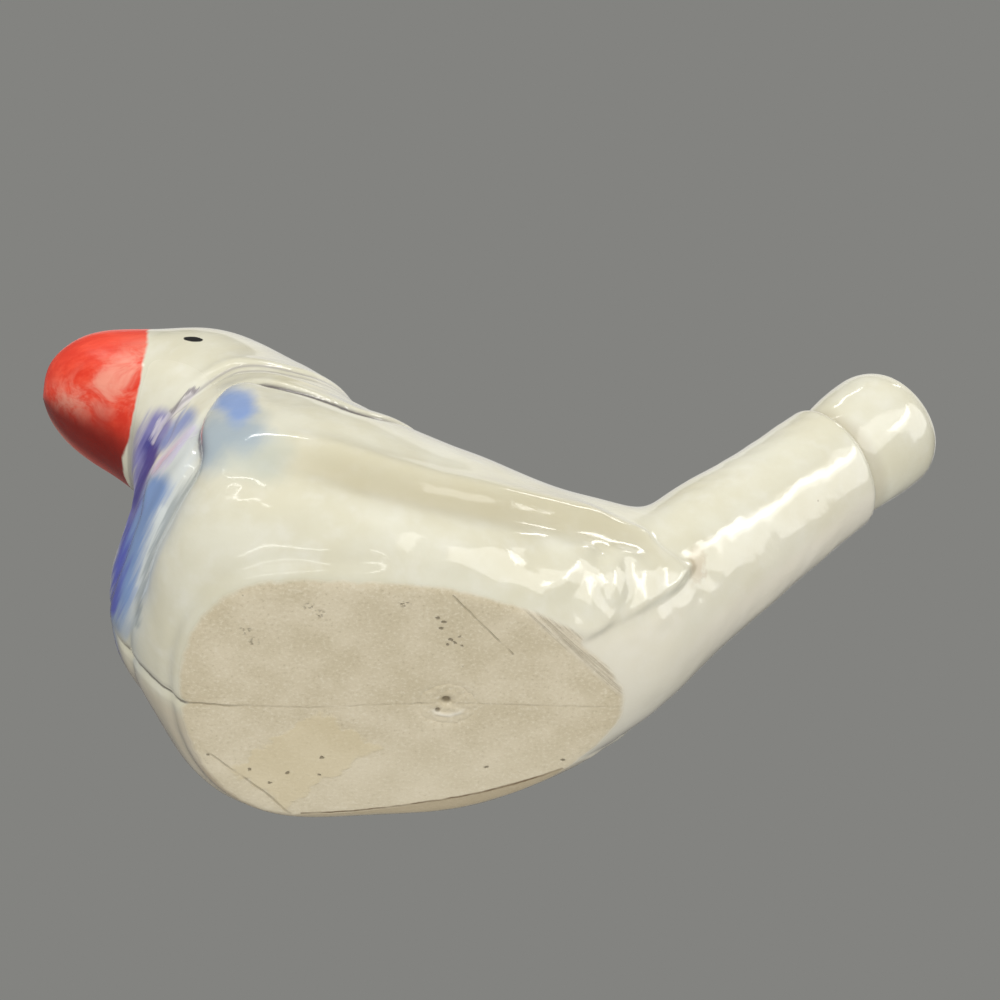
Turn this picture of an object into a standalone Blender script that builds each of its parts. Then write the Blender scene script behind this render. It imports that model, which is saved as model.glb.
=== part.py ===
"""Ceramic bird whistle that warbles when its body holds water.

Two press-moulded body halves are luted together on the mid-plane. The tail is a sleeve with a
straight bore. A mouthpiece with its fipple block closes the outer end of the bore, a sound tube
runs from the sound window down into the water chamber, and a small plug closes the pour hole in
the flat foot. The bird faces -X, its left side is at -Y, and it stands on Z = 0.
"""

import math
from typing import NamedTuple

import bmesh
import bpy
import numpy as np

# Clearances
SEAM_GAP = 0.0003
FIT = 0.0003

# Moulded body
WALL = 0.0026
FLOOR = 0.0030

# Tail sleeve: a straight tapered tube that leaves the rump at TAIL_HEEL, a little waisted
TAIL_HEEL_X = 0.0325
TAIL_HEEL_Z = 0.0197
TAIL_RISE = math.radians(45.0)
TAIL_LENGTH = 0.0253
TAIL_ROOT_RADIUS = 0.0099
TAIL_END_RADIUS = 0.0077
TAIL_WAIST = 0.0004
TAIL_ROOT_LEAN = math.radians(15.0)
TAIL_END_LEAN = math.radians(39.0)
TAIL_WALL = 0.0021

# Mouthpiece and fipple block
TIP_LENGTH = 0.0117
TIP_RADIUS = 0.0075
TIP_ROUNDING = 0.0028
LIP_LAND = 0.0004
SPIGOT_LENGTH = 0.0120
MOUTHPIECE_WALL = 0.0013
WINDWAY_HEIGHT = 0.0016
BLOCK_INSET = 0.0030

# Sound window, with the ramp that brings the labium to an edge
WINDOW_LENGTH = 0.0066
WINDOW_WIDTH = 0.0070
LABIUM_EDGE = 0.0007
LABIUM_RAMP = math.radians(32.0)

# Sound tube
TUBE_WALL = 0.0013
TUBE_FLOOR_CLEARANCE = 0.0030

# Base plug
PLUG_X = 0.0050
PLUG_RADIUS = 0.0026
PLUG_RECESS = 0.0004
PLUG_EDGE = 0.0003

# Relief of the body, outwards from the plain loft
NECK_CREASE_DEPTH = 0.00055
RUFF_EDGE_DEPTH = 0.00035
RUFF_FOLD_HEIGHT = 0.0003
WING_LIP_HEIGHT = 0.0006
WING_GROOVE_DEPTH = 0.0006
CAPE_HEIGHT = 0.0006
CREST_HEIGHT = 0.0006
VALLEY_DEPTH = 0.0008
WING_END_STEP = 0.0006

# Reach of the relief across its lines
GROOVE_WIDTH = 0.0007
LIP_FADE = 0.0090
CAPE_FADE = 0.0075
CREST_WIDTH = 0.0024
VALLEY_BELOW_CREST = 0.0033
VALLEY_WIDTH = 0.0024
WING_END_WIDTH = 0.0014
WING_END_FADE = 0.0120

# Creases across the loft, in spans from one rib to the next
CREASE_WIDTH = 0.3
RUFF_EDGE_WIDTH = 0.25
RUFF_FOLD_WIDTH = 0.25
RUFF_LOWER_FOLD_AHEAD = 0.45
RUFF_UPPER_FOLD_AHEAD = 1.0

# Lines drawn round the loft: degrees from the belly line, and spans from the beak tip
CREASE_LINE = (
    (0, 5.2), (25, 5.55), (50, 6.1), (72, 6.73), (94, 7.05), (104, 7.33), (119, 8.13), (145, 8.95),
    (180, 9.15),
)
WING_FRONT_LINE = (
    (0, 10.0), (30, 10.06), (58, 9.96), (70, 9.8), (77, 9.25), (83, 8.4), (90, 8.1), (98, 8.27),
    (110, 8.98), (122, 10.2), (138, 11.1), (156, 11.4), (180, 11.5),
)
WING_END_LINE = (
    (0, 14.6), (20, 15.0), (36, 15.5), (48, 16.2), (58, 17.6), (70, 17.4), (86, 17.0), (108, 16.5),
    (132, 15.4), (180, 14.5),
)

# The wing's crest, drawn along the loft: spans from the beak tip, and degrees from the belly line
CREST_LINE = (
    (0, 78), (4, 81), (8, 88), (10.2, 97), (12.0, 108), (14.4, 112.5), (16.4, 108), (18.4, 93), (21, 86),
)
LINE_SAMPLES = 300

# Facets
RINGS_A_SPAN = 5
POINTS_A_SIDE = 26
WING_CROWDING = 0.45
CHAMBER_RINGS_A_SPAN = 2
CHAMBER_POINTS_A_SIDE = 10
TURNED_STEPS = 32
LIP_POINTS = 7
BLOCK_SIZE = 0.4


class Rib(NamedTuple):
    """One section of the body: a rib from the belly line to the back line in the XZ plane.

    half_width is its reach in Y, waist the share of the rib, from the belly, where it is widest,
    and fullness the exponent of its lower outline, 2 for an ellipse.
    """

    belly_x: float
    belly_z: float
    back_x: float
    back_z: float
    half_width: float
    waist: float
    fullness: float


RIB_UNIT = 0.001


def rib(belly_x, belly_z, back_x, back_z, half_width, waist=0.5, fullness=2.0):
    """A rib whose places and half width are counted in rib units."""
    sizes = [RIB_UNIT * size for size in (belly_x, belly_z, back_x, back_z, half_width)]
    return Rib(*sizes, waist, fullness)


BODY_RIBS = {
    "beak_tip": rib(-44.5, 49.3, -44.5, 49.5, 0.0),
    "beak_round": rib(-43.3, 46.6, -43.7, 53.1, 3.9),
    "beak_middle": rib(-40.4, 43.2, -40.8, 56.1, 6.8),
    "beak_base": rib(-36.7, 40.0, -36.6, 57.6, 8.3),
    "cheek": rib(-33.3, 36.6, -30.7, 57.8, 9.0),
    "crown": rib(-32.0, 33.8, -24.0, 57.5, 10.2),
    "neck": rib(-31.4, 31.1, -17.8, 54.8, 11.4),
    "nape": rib(-31.4, 27.3, -12.6, 50.1, 13.3),
    "shoulder": rib(-31.9, 22.0, -7.6, 44.9, 16.6, 0.48, 2.1),
    "breast": rib(-32.6, 14.8, -3.2, 39.0, 20.3, 0.44, 2.2),
    "chest": rib(-29.6, 7.8, 0.3, 35.1, 23.0, 0.40, 2.3),
    "foot_front": rib(-25.3, 1.3, 4.2, 32.9, 24.6, 0.34, 2.3),
    "flank": rib(-17.5, -3.4, 6.9, 31.9, 24.3, 0.31, 2.15),
    "belly": rib(-7.2, -4.6, 10.0, 30.6, 23.0, 0.30),
    "loin": rib(4.1, -4.9, 13.5, 28.9, 21.0, 0.30),
    "rump": rib(14.4, -3.8, 17.6, 27.6, 17.6, 0.34),
    "tail_root": rib(22.9, -0.6, 22.1, 26.9, 14.0, 0.40),
    "tail_bend": rib(29.9, 4.1, 26.4, 26.7, 10.9, 0.46),
}
TAIL_SPANS = 3
CHAMBER_FROM = "beak_middle"
CHAMBER_TO = "tail_bend"

# Values that follow from the driving dimensions
TAIL_AXIS = np.array([math.cos(TAIL_RISE), 0.0, math.sin(TAIL_RISE)])
TAIL_HEEL = np.array([TAIL_HEEL_X, 0.0, TAIL_HEEL_Z])
TAIL_END = TAIL_HEEL + TAIL_LENGTH * TAIL_AXIS
BORE_RADIUS = TAIL_END_RADIUS - TAIL_WALL
SPIGOT_RADIUS = BORE_RADIUS - FIT
MOUTH_BORE_RADIUS = SPIGOT_RADIUS - MOUTHPIECE_WALL
WINDOW_TOP = -SPIGOT_LENGTH
WINDOW_END = WINDOW_TOP - WINDOW_LENGTH
TUBE_TOP = WINDOW_END - FIT
TUBE_END = (
    FLOOR + TUBE_FLOOR_CLEARANCE + SPIGOT_RADIUS * math.cos(TAIL_RISE) - TAIL_END[2]
) / math.sin(TAIL_RISE)
LIP_ROUNDING = min(TIP_ROUNDING, TIP_RADIUS - MOUTH_BORE_RADIUS - LIP_LAND)
REAR_REACH = (
    TAIL_END[0] + (TIP_LENGTH - LIP_ROUNDING) * TAIL_AXIS[0]
    + (TIP_RADIUS - LIP_ROUNDING) * TAIL_AXIS[2] + LIP_ROUNDING
)
MIDDLE_X = (REAR_REACH + BODY_RIBS["beak_tip"].belly_x) / 2


def tail_ribs():
    """Ribs of the tail sleeve: evenly spaced along its axis, tapering, waisted and leaning back."""
    ribs = {}
    spans = round(TAIL_SPANS)
    for step in range(spans + 1):
        share = step / spans
        radius = TAIL_ROOT_RADIUS + share * (TAIL_END_RADIUS - TAIL_ROOT_RADIUS)
        radius = radius - TAIL_WAIST * math.sin(math.pi * share)
        lean = TAIL_ROOT_LEAN + share * (TAIL_END_LEAN - TAIL_ROOT_LEAN)
        centre = TAIL_HEEL + share * TAIL_LENGTH * TAIL_AXIS
        reach = radius * np.array([math.sin(lean), 0.0, -math.cos(lean)])
        belly = centre + reach
        back = centre - reach
        ribs[f"tail_{step}"] = Rib(belly[0], belly[2], back[0], back[2], radius, 0.5, 2.0)
    return ribs


RIBS = {**BODY_RIBS, **tail_ribs()}
RIB_NAMES = list(RIBS)


def rib_place(name):
    """Place of a rib along the loft, counted in spans from the beak tip."""
    return float(RIB_NAMES.index(name))


def spline_rows(rows, places):
    """Rows read at places along the natural cubic spline that passes through every row."""
    last = len(rows) - 1
    system = 4 * np.eye(last + 1) + np.eye(last + 1, k=1) + np.eye(last + 1, k=-1)
    system[0, 0] = system[last, last] = 2
    after = np.vstack([rows[1:], rows[-1:]])
    before = np.vstack([rows[:1], rows[:-1]])
    slopes = np.linalg.solve(system, 3 * (after - before))
    span = np.minimum(places.astype(int), last - 1)
    t = (places - span)[:, None]
    start = rows[span] * (1 + 2 * t) + slopes[span] * t
    end = rows[span + 1] * (3 - 2 * t) - slopes[span + 1] * (1 - t)
    return start * (1 - t) ** 2 + end * t ** 2


def bump(value, centre, width):
    """A smooth bump of height 1 at centre, fading over width on both sides."""
    return np.exp(-(((value - centre) / width) ** 2))


def rise(value, start, end):
    """A smooth rise from 0 at start to 1 at end."""
    t = np.clip((value - start) / (end - start), 0, 1)
    return t * t * (3 - 2 * t)


def drawn_line(knots, at):
    """A line drawn on the loft, read at values of its first part: a spline through its knots."""
    samples = spline_rows(np.array(knots), np.linspace(0, len(knots) - 1, round(LINE_SAMPLES)))
    return np.interp(at, samples[:, 0], samples[:, 1])


def plain_loft(places, angle, inset=0.0):
    """Points of the left side of the loft, rings by angles, from 0 at the belly line to pi at the back.

    Each ring is two half superellipses that meet at the waist of its rib. inset draws the ring in
    on all sides. The waists come with the points, for the relief to grow from.
    """
    rows = spline_rows(np.array([list(rib) for rib in RIBS.values()]), places)
    belly_x, belly_z, back_x, back_z, half_width, waist, fullness = rows.T[:, :, None]
    angle = angle[None, :]
    length = np.hypot(back_x - belly_x, back_z - belly_z)
    exponent = np.where(angle <= math.pi / 2, 2 / fullness, 1.0)
    along = -np.sign(np.cos(angle)) * np.abs(np.cos(angle)) ** exponent
    across = np.abs(np.sin(angle)) ** exponent
    below = waist * length - inset
    above = (1 - waist) * length - inset
    share = waist + along * np.where(along < 0, below, above) / length
    x = belly_x + share * (back_x - belly_x)
    z = belly_z + share * (back_z - belly_z)
    waist_x = belly_x + waist * (back_x - belly_x)
    waist_z = belly_z + waist * (back_z - belly_z)
    waists = np.stack([waist_x, np.zeros_like(waist_x), waist_z], axis=-1)
    return np.stack([x, -across * (half_width - inset), z], axis=-1), waists


def line_distance(places, degrees, points, ahead):
    """Distance of points from a line drawn on the loft, with the sign of ahead, which changes on it."""
    rings, _ = plain_loft(places, np.radians(degrees))
    line = np.einsum("iij->ij", rings)
    run = np.gradient(line, axis=0)
    step = np.linalg.norm(run, axis=1)
    run = run / step[:, None]
    flat = points.reshape(-1, 3)
    nearest = np.linalg.norm(flat[:, None] - line[None], axis=2).argmin(axis=1)
    off = flat - line[nearest]
    slide = np.clip((off * run[nearest]).sum(axis=1), -step[nearest], step[nearest])
    far = np.linalg.norm(off - slide[:, None] * run[nearest], axis=1)
    return np.copysign(far.reshape(ahead.shape), ahead)


def relief(points, place, angle):
    """Height of the modelling over the plain loft, at points, their places along it and angles round it.

    A crease rings the neck, and a ruff with two folds lies below it and ends in a groove across the
    breast. Each wing has a rounded front with a lip and a groove, over which the cape of the neck
    stands at the back, then a crest with a valley below it, and it ends in a step before the tail.
    """
    degrees = np.degrees(angle)
    turn = np.linspace(0, 180, round(LINE_SAMPLES))
    spans = np.linspace(0, len(RIBS) - 1, round(LINE_SAMPLES))
    front_place = drawn_line(WING_FRONT_LINE, degrees)
    front = line_distance(drawn_line(WING_FRONT_LINE, turn), turn, points, place - front_place)
    past_end = place - drawn_line(WING_END_LINE, degrees)
    wing_end = -line_distance(drawn_line(WING_END_LINE, turn), turn, points, past_end)
    above_crest = degrees - drawn_line(CREST_LINE, place)
    crest = line_distance(spans, drawn_line(CREST_LINE, spans), points, above_crest)

    crease = -NECK_CREASE_DEPTH * bump(place, drawn_line(CREASE_LINE, degrees), CREASE_WIDTH)
    on_ruff = rise(degrees, 6, 24) * (1 - rise(degrees, 66, 82))
    ruff_edge = -RUFF_EDGE_DEPTH * on_ruff * bump(place, front_place, RUFF_EDGE_WIDTH)
    lower_fold = bump(place, front_place - RUFF_LOWER_FOLD_AHEAD, RUFF_FOLD_WIDTH)
    upper_fold = bump(place, front_place - RUFF_UPPER_FOLD_AHEAD, RUFF_FOLD_WIDTH)
    ruff_folds = RUFF_FOLD_HEIGHT * on_ruff * (lower_fold + upper_fold)

    on_shoulder = 0.2 + 0.8 * rise(degrees, 66, 84) * (1 - rise(degrees, 98, 108))
    lip_fade = rise(front, -GROOVE_WIDTH / 4, GROOVE_WIDTH) * (1 - rise(front, GROOVE_WIDTH, LIP_FADE))
    lip = WING_LIP_HEIGHT * on_shoulder * lip_fade
    groove = -WING_GROOVE_DEPTH * on_shoulder * bump(front, -GROOVE_WIDTH / 4, GROOVE_WIDTH)
    cape_fade = rise(-front, -GROOVE_WIDTH / 2, GROOVE_WIDTH) * (1 - rise(-front, GROOVE_WIDTH, CAPE_FADE))
    cape = CAPE_HEIGHT * rise(degrees, 99, 111) * cape_fade

    on_wing = rise(place, rib_place("chest"), rib_place("flank")) * rise(wing_end, 0, 2 * WING_END_WIDTH)
    ridge = CREST_HEIGHT * bump(crest, 0, CREST_WIDTH)
    valley = -VALLEY_DEPTH * bump(crest, -VALLEY_BELOW_CREST, VALLEY_WIDTH)
    beside_tail = rise(degrees, 30, 46) * (1 - rise(degrees, 96, 110))
    end_rise = rise(wing_end, -WING_END_WIDTH / 2, WING_END_WIDTH / 2)
    end_fade = 1 - rise(wing_end, WING_END_WIDTH, WING_END_FADE)
    step = WING_END_STEP * beside_tail * end_rise * end_fade
    return crease + ruff_edge + ruff_folds + lip + groove + cape + on_wing * (ridge + valley) + step


def loft_rings(places, points_a_side, inset=0.0, modelled=True):
    """Rings of the loft at places: an array of rings, points and coordinates.

    A modelled ring gets the relief, outwards from its waist, and its points crowd on the wings.
    """
    turn = np.linspace(0, 2 * math.pi, 2 * round(points_a_side), endpoint=False)
    if modelled:
        turn = turn + WING_CROWDING / 2 * np.sin(2 * turn)
    angle = np.minimum(turn, 2 * math.pi - turn)
    points, waists = plain_loft(places, angle, inset)
    if modelled:
        place, angles = np.broadcast_arrays(places[:, None], angle[None, :])
        reach = np.linalg.norm(points - waists, axis=2)
        grow = 1 + relief(points, place, angles) / np.maximum(reach, TIP_ROUNDING)
        points = waists + grow[..., None] * (points - waists)
    side = np.where(turn <= math.pi, 1.0, -1.0)
    return points * np.stack([np.ones_like(side), side, np.ones_like(side)], axis=-1)


def material(name, colour, roughness, coat=0.0):
    """A plain Principled material."""
    made = bpy.data.materials.new(name)
    made.use_nodes = True
    shader = made.node_tree.nodes["Principled BSDF"]
    shader.inputs["Base Color"].default_value = (*colour, 1.0)
    shader.inputs["Roughness"].default_value = roughness
    shader.inputs["Metallic"].default_value = 0.0
    shader.inputs["Coat Weight"].default_value = coat
    return made


def add_object(name, mesh, collection, parent):
    """A new object of a mesh, in a collection and under a parent."""
    made = bpy.data.objects.new(name, mesh)
    collection.objects.link(made)
    made.parent = parent
    return made


def as_cutter(cutter):
    """Mark an object as a cutter, drawn in wire and left out of renders."""
    cutter.hide_render = True
    cutter.display_type = "WIRE"
    return cutter


def boolean(target, cutter, operation):
    """Cut a target with a cutter by an exact Boolean modifier."""
    modifier = target.modifiers.new(cutter.name, "BOOLEAN")
    modifier.operation = operation
    modifier.object = cutter
    modifier.solver = "EXACT"


def smooth(mesh, sharp_angle=math.radians(35)):
    """Shade a mesh smooth, with sharp edges kept."""
    mesh.shade_smooth()
    mesh.set_sharp_from_angle(angle=sharp_angle)


def loft_mesh(name, rings, pole=None):
    """A closed mesh through the rings, ending in a pole or a flat cap, and in a flat cap."""
    shape = bmesh.new()
    loops = [[shape.verts.new(point) for point in ring] for ring in rings]
    count = len(loops[0])
    for near, far in zip(loops, loops[1:]):
        for i in range(count):
            j = (i + 1) % count
            shape.faces.new((near[i], far[i], far[j], near[j]))
    if pole is None:
        shape.faces.new(loops[0])
    else:
        tip = shape.verts.new(pole)
        for i in range(count):
            shape.faces.new((tip, loops[0][i], loops[0][(i + 1) % count]))
    shape.faces.new(reversed(loops[-1]))
    bmesh.ops.recalc_face_normals(shape, faces=shape.faces)
    mesh = bpy.data.meshes.new(name)
    shape.to_mesh(mesh)
    shape.free()
    return mesh


def outer_mesh(name):
    """The outside of the whole bird, from the beak tip to the end of the tail sleeve."""
    spans = len(RIBS) - 1
    places = np.linspace(0, spans, round(spans * RINGS_A_SPAN) + 1)[1:]
    tip = RIBS["beak_tip"]
    pole = (tip.belly_x, 0.0, (tip.belly_z + tip.back_z) / 2)
    return loft_mesh(name, loft_rings(places, POINTS_A_SIDE), pole)


def chamber_mesh(name):
    """The water chamber: the plain loft drawn in by the wall, between head and tail root."""
    first = rib_place(CHAMBER_FROM)
    last = rib_place(CHAMBER_TO)
    places = np.linspace(first, last, round((last - first) * CHAMBER_RINGS_A_SPAN) + 1)
    return loft_mesh(name, loft_rings(places, CHAMBER_POINTS_A_SIDE, inset=WALL, modelled=False))


def turned(name, profile, collection, parent):
    """A turned piece: a closed profile of (radius, height) pairs under a Screw modifier."""
    mesh = bpy.data.meshes.new(name)
    points = [(radius, 0.0, height) for radius, height in profile]
    edges = [(i, (i + 1) % len(points)) for i in range(len(points))]
    mesh.from_pydata(points, edges, [])
    made = add_object(name, mesh, collection, parent)
    screw = made.modifiers.new("turn", "SCREW")
    screw.axis = "Z"
    screw.steps = round(TURNED_STEPS)
    screw.render_steps = screw.steps
    screw.use_merge_vertices = True
    screw.merge_threshold = 0.00001
    screw.use_smooth_shade = True
    return made


def block(name, low, high, collection, parent):
    """A box between two corners, as a cutter."""
    shape = bmesh.new()
    bmesh.ops.create_cube(shape, size=1.0)
    low = np.array(low)
    high = np.array(high)
    bmesh.ops.scale(shape, vec=high - low, verts=shape.verts)
    bmesh.ops.translate(shape, vec=(low + high) / 2, verts=shape.verts)
    mesh = bpy.data.meshes.new(name)
    shape.to_mesh(mesh)
    shape.free()
    return as_cutter(add_object(name, mesh, collection, parent))


def prism(name, outline, width, collection, parent):
    """An outline in XZ, extruded evenly to both sides in Y, as a cutter."""
    shape = bmesh.new()
    face = shape.faces.new([shape.verts.new((x, -width / 2, z)) for x, z in outline])
    grown = bmesh.ops.extrude_face_region(shape, geom=[face])["geom"]
    moved = [item for item in grown if isinstance(item, bmesh.types.BMVert)]
    bmesh.ops.translate(shape, vec=(0.0, width, 0.0), verts=moved)
    bmesh.ops.recalc_face_normals(shape, faces=shape.faces)
    mesh = bpy.data.meshes.new(name)
    shape.to_mesh(mesh)
    shape.free()
    return as_cutter(add_object(name, mesh, collection, parent))


def rod_profile(radius, low, high):
    """Closed profile of a solid rod: down its outer side and back up the axis."""
    return [(0.0, high), (radius, high), (radius, low), (0.0, low)]


def pipe_profile(outer, inner, low, high):
    """Closed profile of a pipe: down its outer side and up its bore."""
    return [(outer, high), (outer, low), (inner, low), (inner, high)]


def along_tail(made):
    """Set a piece on the tail: its Z along the sleeve axis, its origin at the sleeve end."""
    made.location = TAIL_END
    made.rotation_euler = (0.0, math.pi / 2 - TAIL_RISE, 0.0)
    return made


def make_cutters(cutters, root):
    """Everything that is taken out of the body halves, as one dictionary."""
    chamber = as_cutter(add_object("cut_chamber", chamber_mesh("cut_chamber"), cutters, root))
    half_block = BLOCK_SIZE / 2
    above_floor = block("keep_above_floor", (-half_block, -half_block, FLOOR),
                        (half_block, half_block, BLOCK_SIZE), cutters, root)
    boolean(chamber, above_floor, "INTERSECT")

    bore_top = TIP_LENGTH
    bore = turned("cut_tail_bore", rod_profile(BORE_RADIUS, TUBE_END - FIT, bore_top), cutters, root)
    as_cutter(along_tail(bore))

    outside = TAIL_ROOT_RADIUS
    edge = BORE_RADIUS + LABIUM_EDGE
    ramp_run = (outside - edge) / math.tan(LABIUM_RAMP)
    outline = [(0.0, WINDOW_TOP), (-outside, WINDOW_TOP), (-outside, WINDOW_END - ramp_run),
               (-edge, WINDOW_END), (0.0, WINDOW_END)]
    window = along_tail(prism("cut_sound_window", outline, WINDOW_WIDTH, cutters, root))

    pour_hole = turned("cut_pour_hole", rod_profile(PLUG_RADIUS + FIT, -FLOOR, 2 * FLOOR), cutters, root)
    pour_hole.location = (PLUG_X, 0.0, 0.0)
    as_cutter(pour_hole)
    return [chamber, bore, window, pour_hole]


def make_body_half(name, side, finish, hollows, parts, cutters, root):
    """One moulded half: the outer loft kept on one side and above the ground, then hollowed."""
    half = add_object(name, outer_mesh(name), parts, root)
    half.data.materials.append(finish)
    smooth(half.data)
    seam_face = side * SEAM_GAP / 2
    far_face = side * BLOCK_SIZE / 2
    keep = block(f"keep_{name}", (-BLOCK_SIZE / 2, min(seam_face, far_face), 0.0),
                 (BLOCK_SIZE / 2, max(seam_face, far_face), BLOCK_SIZE), cutters, root)
    boolean(half, keep, "INTERSECT")
    for hollow in hollows:
        boolean(half, hollow, "DIFFERENCE")
    return half


def make_mouthpiece(finish, parts, cutters, root):
    """The stepped mouthpiece: a rounded tip, a shoulder on the sleeve end, a spigot and a bore."""
    lip_x = TIP_RADIUS - LIP_ROUNDING
    lip_z = TIP_LENGTH - LIP_ROUNDING
    quarter = np.linspace(0, math.pi / 2, round(LIP_POINTS))
    rounding = [(lip_x + LIP_ROUNDING * math.sin(a), lip_z + LIP_ROUNDING * math.cos(a)) for a in quarter]
    profile = rounding + [(TIP_RADIUS, -SPIGOT_LENGTH), (MOUTH_BORE_RADIUS, -SPIGOT_LENGTH),
                          (MOUTH_BORE_RADIUS, TIP_LENGTH)]
    mouthpiece = along_tail(turned("mouthpiece", profile, parts, root))
    mouthpiece.data.materials.append(finish)

    ring = pipe_profile(2 * TIP_RADIUS, SPIGOT_RADIUS, -2 * SPIGOT_LENGTH, TIP_LENGTH)
    sleeve_room = as_cutter(along_tail(turned("cut_sleeve_room", ring, cutters, root)))
    shoulder = block("keep_below_shoulder", (-BLOCK_SIZE / 2, -BLOCK_SIZE / 2, -BLOCK_SIZE),
                     (BLOCK_SIZE / 2, BLOCK_SIZE / 2, FIT), cutters, root)
    shoulder.location = TAIL_END
    shoulder.rotation_euler = (0.0, math.pi / 2 - TAIL_END_LEAN, 0.0)
    boolean(sleeve_room, shoulder, "INTERSECT")
    boolean(mouthpiece, sleeve_room, "DIFFERENCE")
    return mouthpiece


def make_fipple_block(finish, parts, cutters, root):
    """The block in the mouthpiece bore, with a flat on top that is the windway's floor."""
    rod = rod_profile(MOUTH_BORE_RADIUS - FIT, -SPIGOT_LENGTH, TIP_LENGTH - BLOCK_INSET)
    fipple = along_tail(turned("fipple_block", rod, parts, root))
    fipple.data.materials.append(finish)
    flat = MOUTH_BORE_RADIUS - WINDWAY_HEIGHT
    windway = block("cut_windway", (-2 * MOUTH_BORE_RADIUS, -BLOCK_SIZE, -BLOCK_SIZE),
                    (-flat, BLOCK_SIZE, BLOCK_SIZE), cutters, root)
    along_tail(windway)
    boolean(fipple, windway, "DIFFERENCE")
    return fipple


def make_sound_tube(finish, parts, root):
    """The open pipe from the sound window down into the water chamber."""
    pipe = pipe_profile(SPIGOT_RADIUS, SPIGOT_RADIUS - TUBE_WALL, TUBE_END, TUBE_TOP)
    tube = along_tail(turned("sound_tube", pipe, parts, root))
    tube.data.materials.append(finish)
    return tube


def make_base_plug(finish, parts, root):
    """The plug in the pour hole, a little above the ground, with a broken lower edge."""
    profile = [(0.0, FLOOR), (PLUG_RADIUS, FLOOR), (PLUG_RADIUS, PLUG_RECESS + PLUG_EDGE),
               (PLUG_RADIUS - PLUG_EDGE, PLUG_RECESS), (0.0, PLUG_RECESS)]
    plug = turned("base_plug", profile, parts, root)
    plug.location = (PLUG_X, 0.0, 0.0)
    plug.data.materials.append(finish)
    return plug


def clear_scene():
    """Remove every object of the open scene."""
    for old in list(bpy.data.objects):
        bpy.data.objects.remove(old, do_unlink=True)


def new_collection(name):
    """A new collection in the scene."""
    made = bpy.data.collections.new(name)
    bpy.context.scene.collection.children.link(made)
    return made


def main():
    clear_scene()
    parts = new_collection("ceramic_bird_whistle")
    cutters = new_collection("cutters")
    root = bpy.data.objects.new("bird_middle", None)
    parts.objects.link(root)
    root.location = (-MIDDLE_X, 0.0, 0.0)

    glaze = material("ivory_glaze", (0.74, 0.70, 0.58), 0.12, coat=0.6)
    glazed_tip = material("ivory_glaze_tip", (0.76, 0.72, 0.60), 0.14, coat=0.6)
    inner_clay = material("bare_clay", (0.62, 0.54, 0.42), 0.8)
    plug_clay = material("plug_clay", (0.55, 0.47, 0.36), 0.85)

    hollows = make_cutters(cutters, root)
    make_body_half("left_body_half", -1, glaze, hollows, parts, cutters, root)
    make_body_half("right_body_half", 1, glaze, hollows, parts, cutters, root)
    make_mouthpiece(glazed_tip, parts, cutters, root)
    make_fipple_block(inner_clay, parts, cutters, root)
    make_sound_tube(inner_clay, parts, root)
    make_base_plug(plug_clay, parts, root)


main()
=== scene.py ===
import functools
import math

import bpy
import numpy as np
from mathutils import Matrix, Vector


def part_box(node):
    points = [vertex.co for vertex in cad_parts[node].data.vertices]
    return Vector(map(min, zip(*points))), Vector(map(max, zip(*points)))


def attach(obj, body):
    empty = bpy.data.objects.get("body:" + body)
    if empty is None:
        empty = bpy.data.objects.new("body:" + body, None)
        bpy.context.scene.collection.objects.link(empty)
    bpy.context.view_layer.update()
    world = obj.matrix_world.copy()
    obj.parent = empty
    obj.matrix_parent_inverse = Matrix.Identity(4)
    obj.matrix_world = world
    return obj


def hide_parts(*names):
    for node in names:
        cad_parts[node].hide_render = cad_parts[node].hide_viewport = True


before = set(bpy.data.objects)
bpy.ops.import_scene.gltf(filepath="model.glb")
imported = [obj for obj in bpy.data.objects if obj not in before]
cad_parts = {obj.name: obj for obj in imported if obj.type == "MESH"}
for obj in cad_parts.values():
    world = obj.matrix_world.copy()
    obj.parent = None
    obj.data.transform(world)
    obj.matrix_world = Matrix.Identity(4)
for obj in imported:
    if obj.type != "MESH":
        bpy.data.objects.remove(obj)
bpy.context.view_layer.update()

# Sizes are in millimetres, in the frame of the part's ribs, and meshes are made in metres
MM = 0.001

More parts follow.
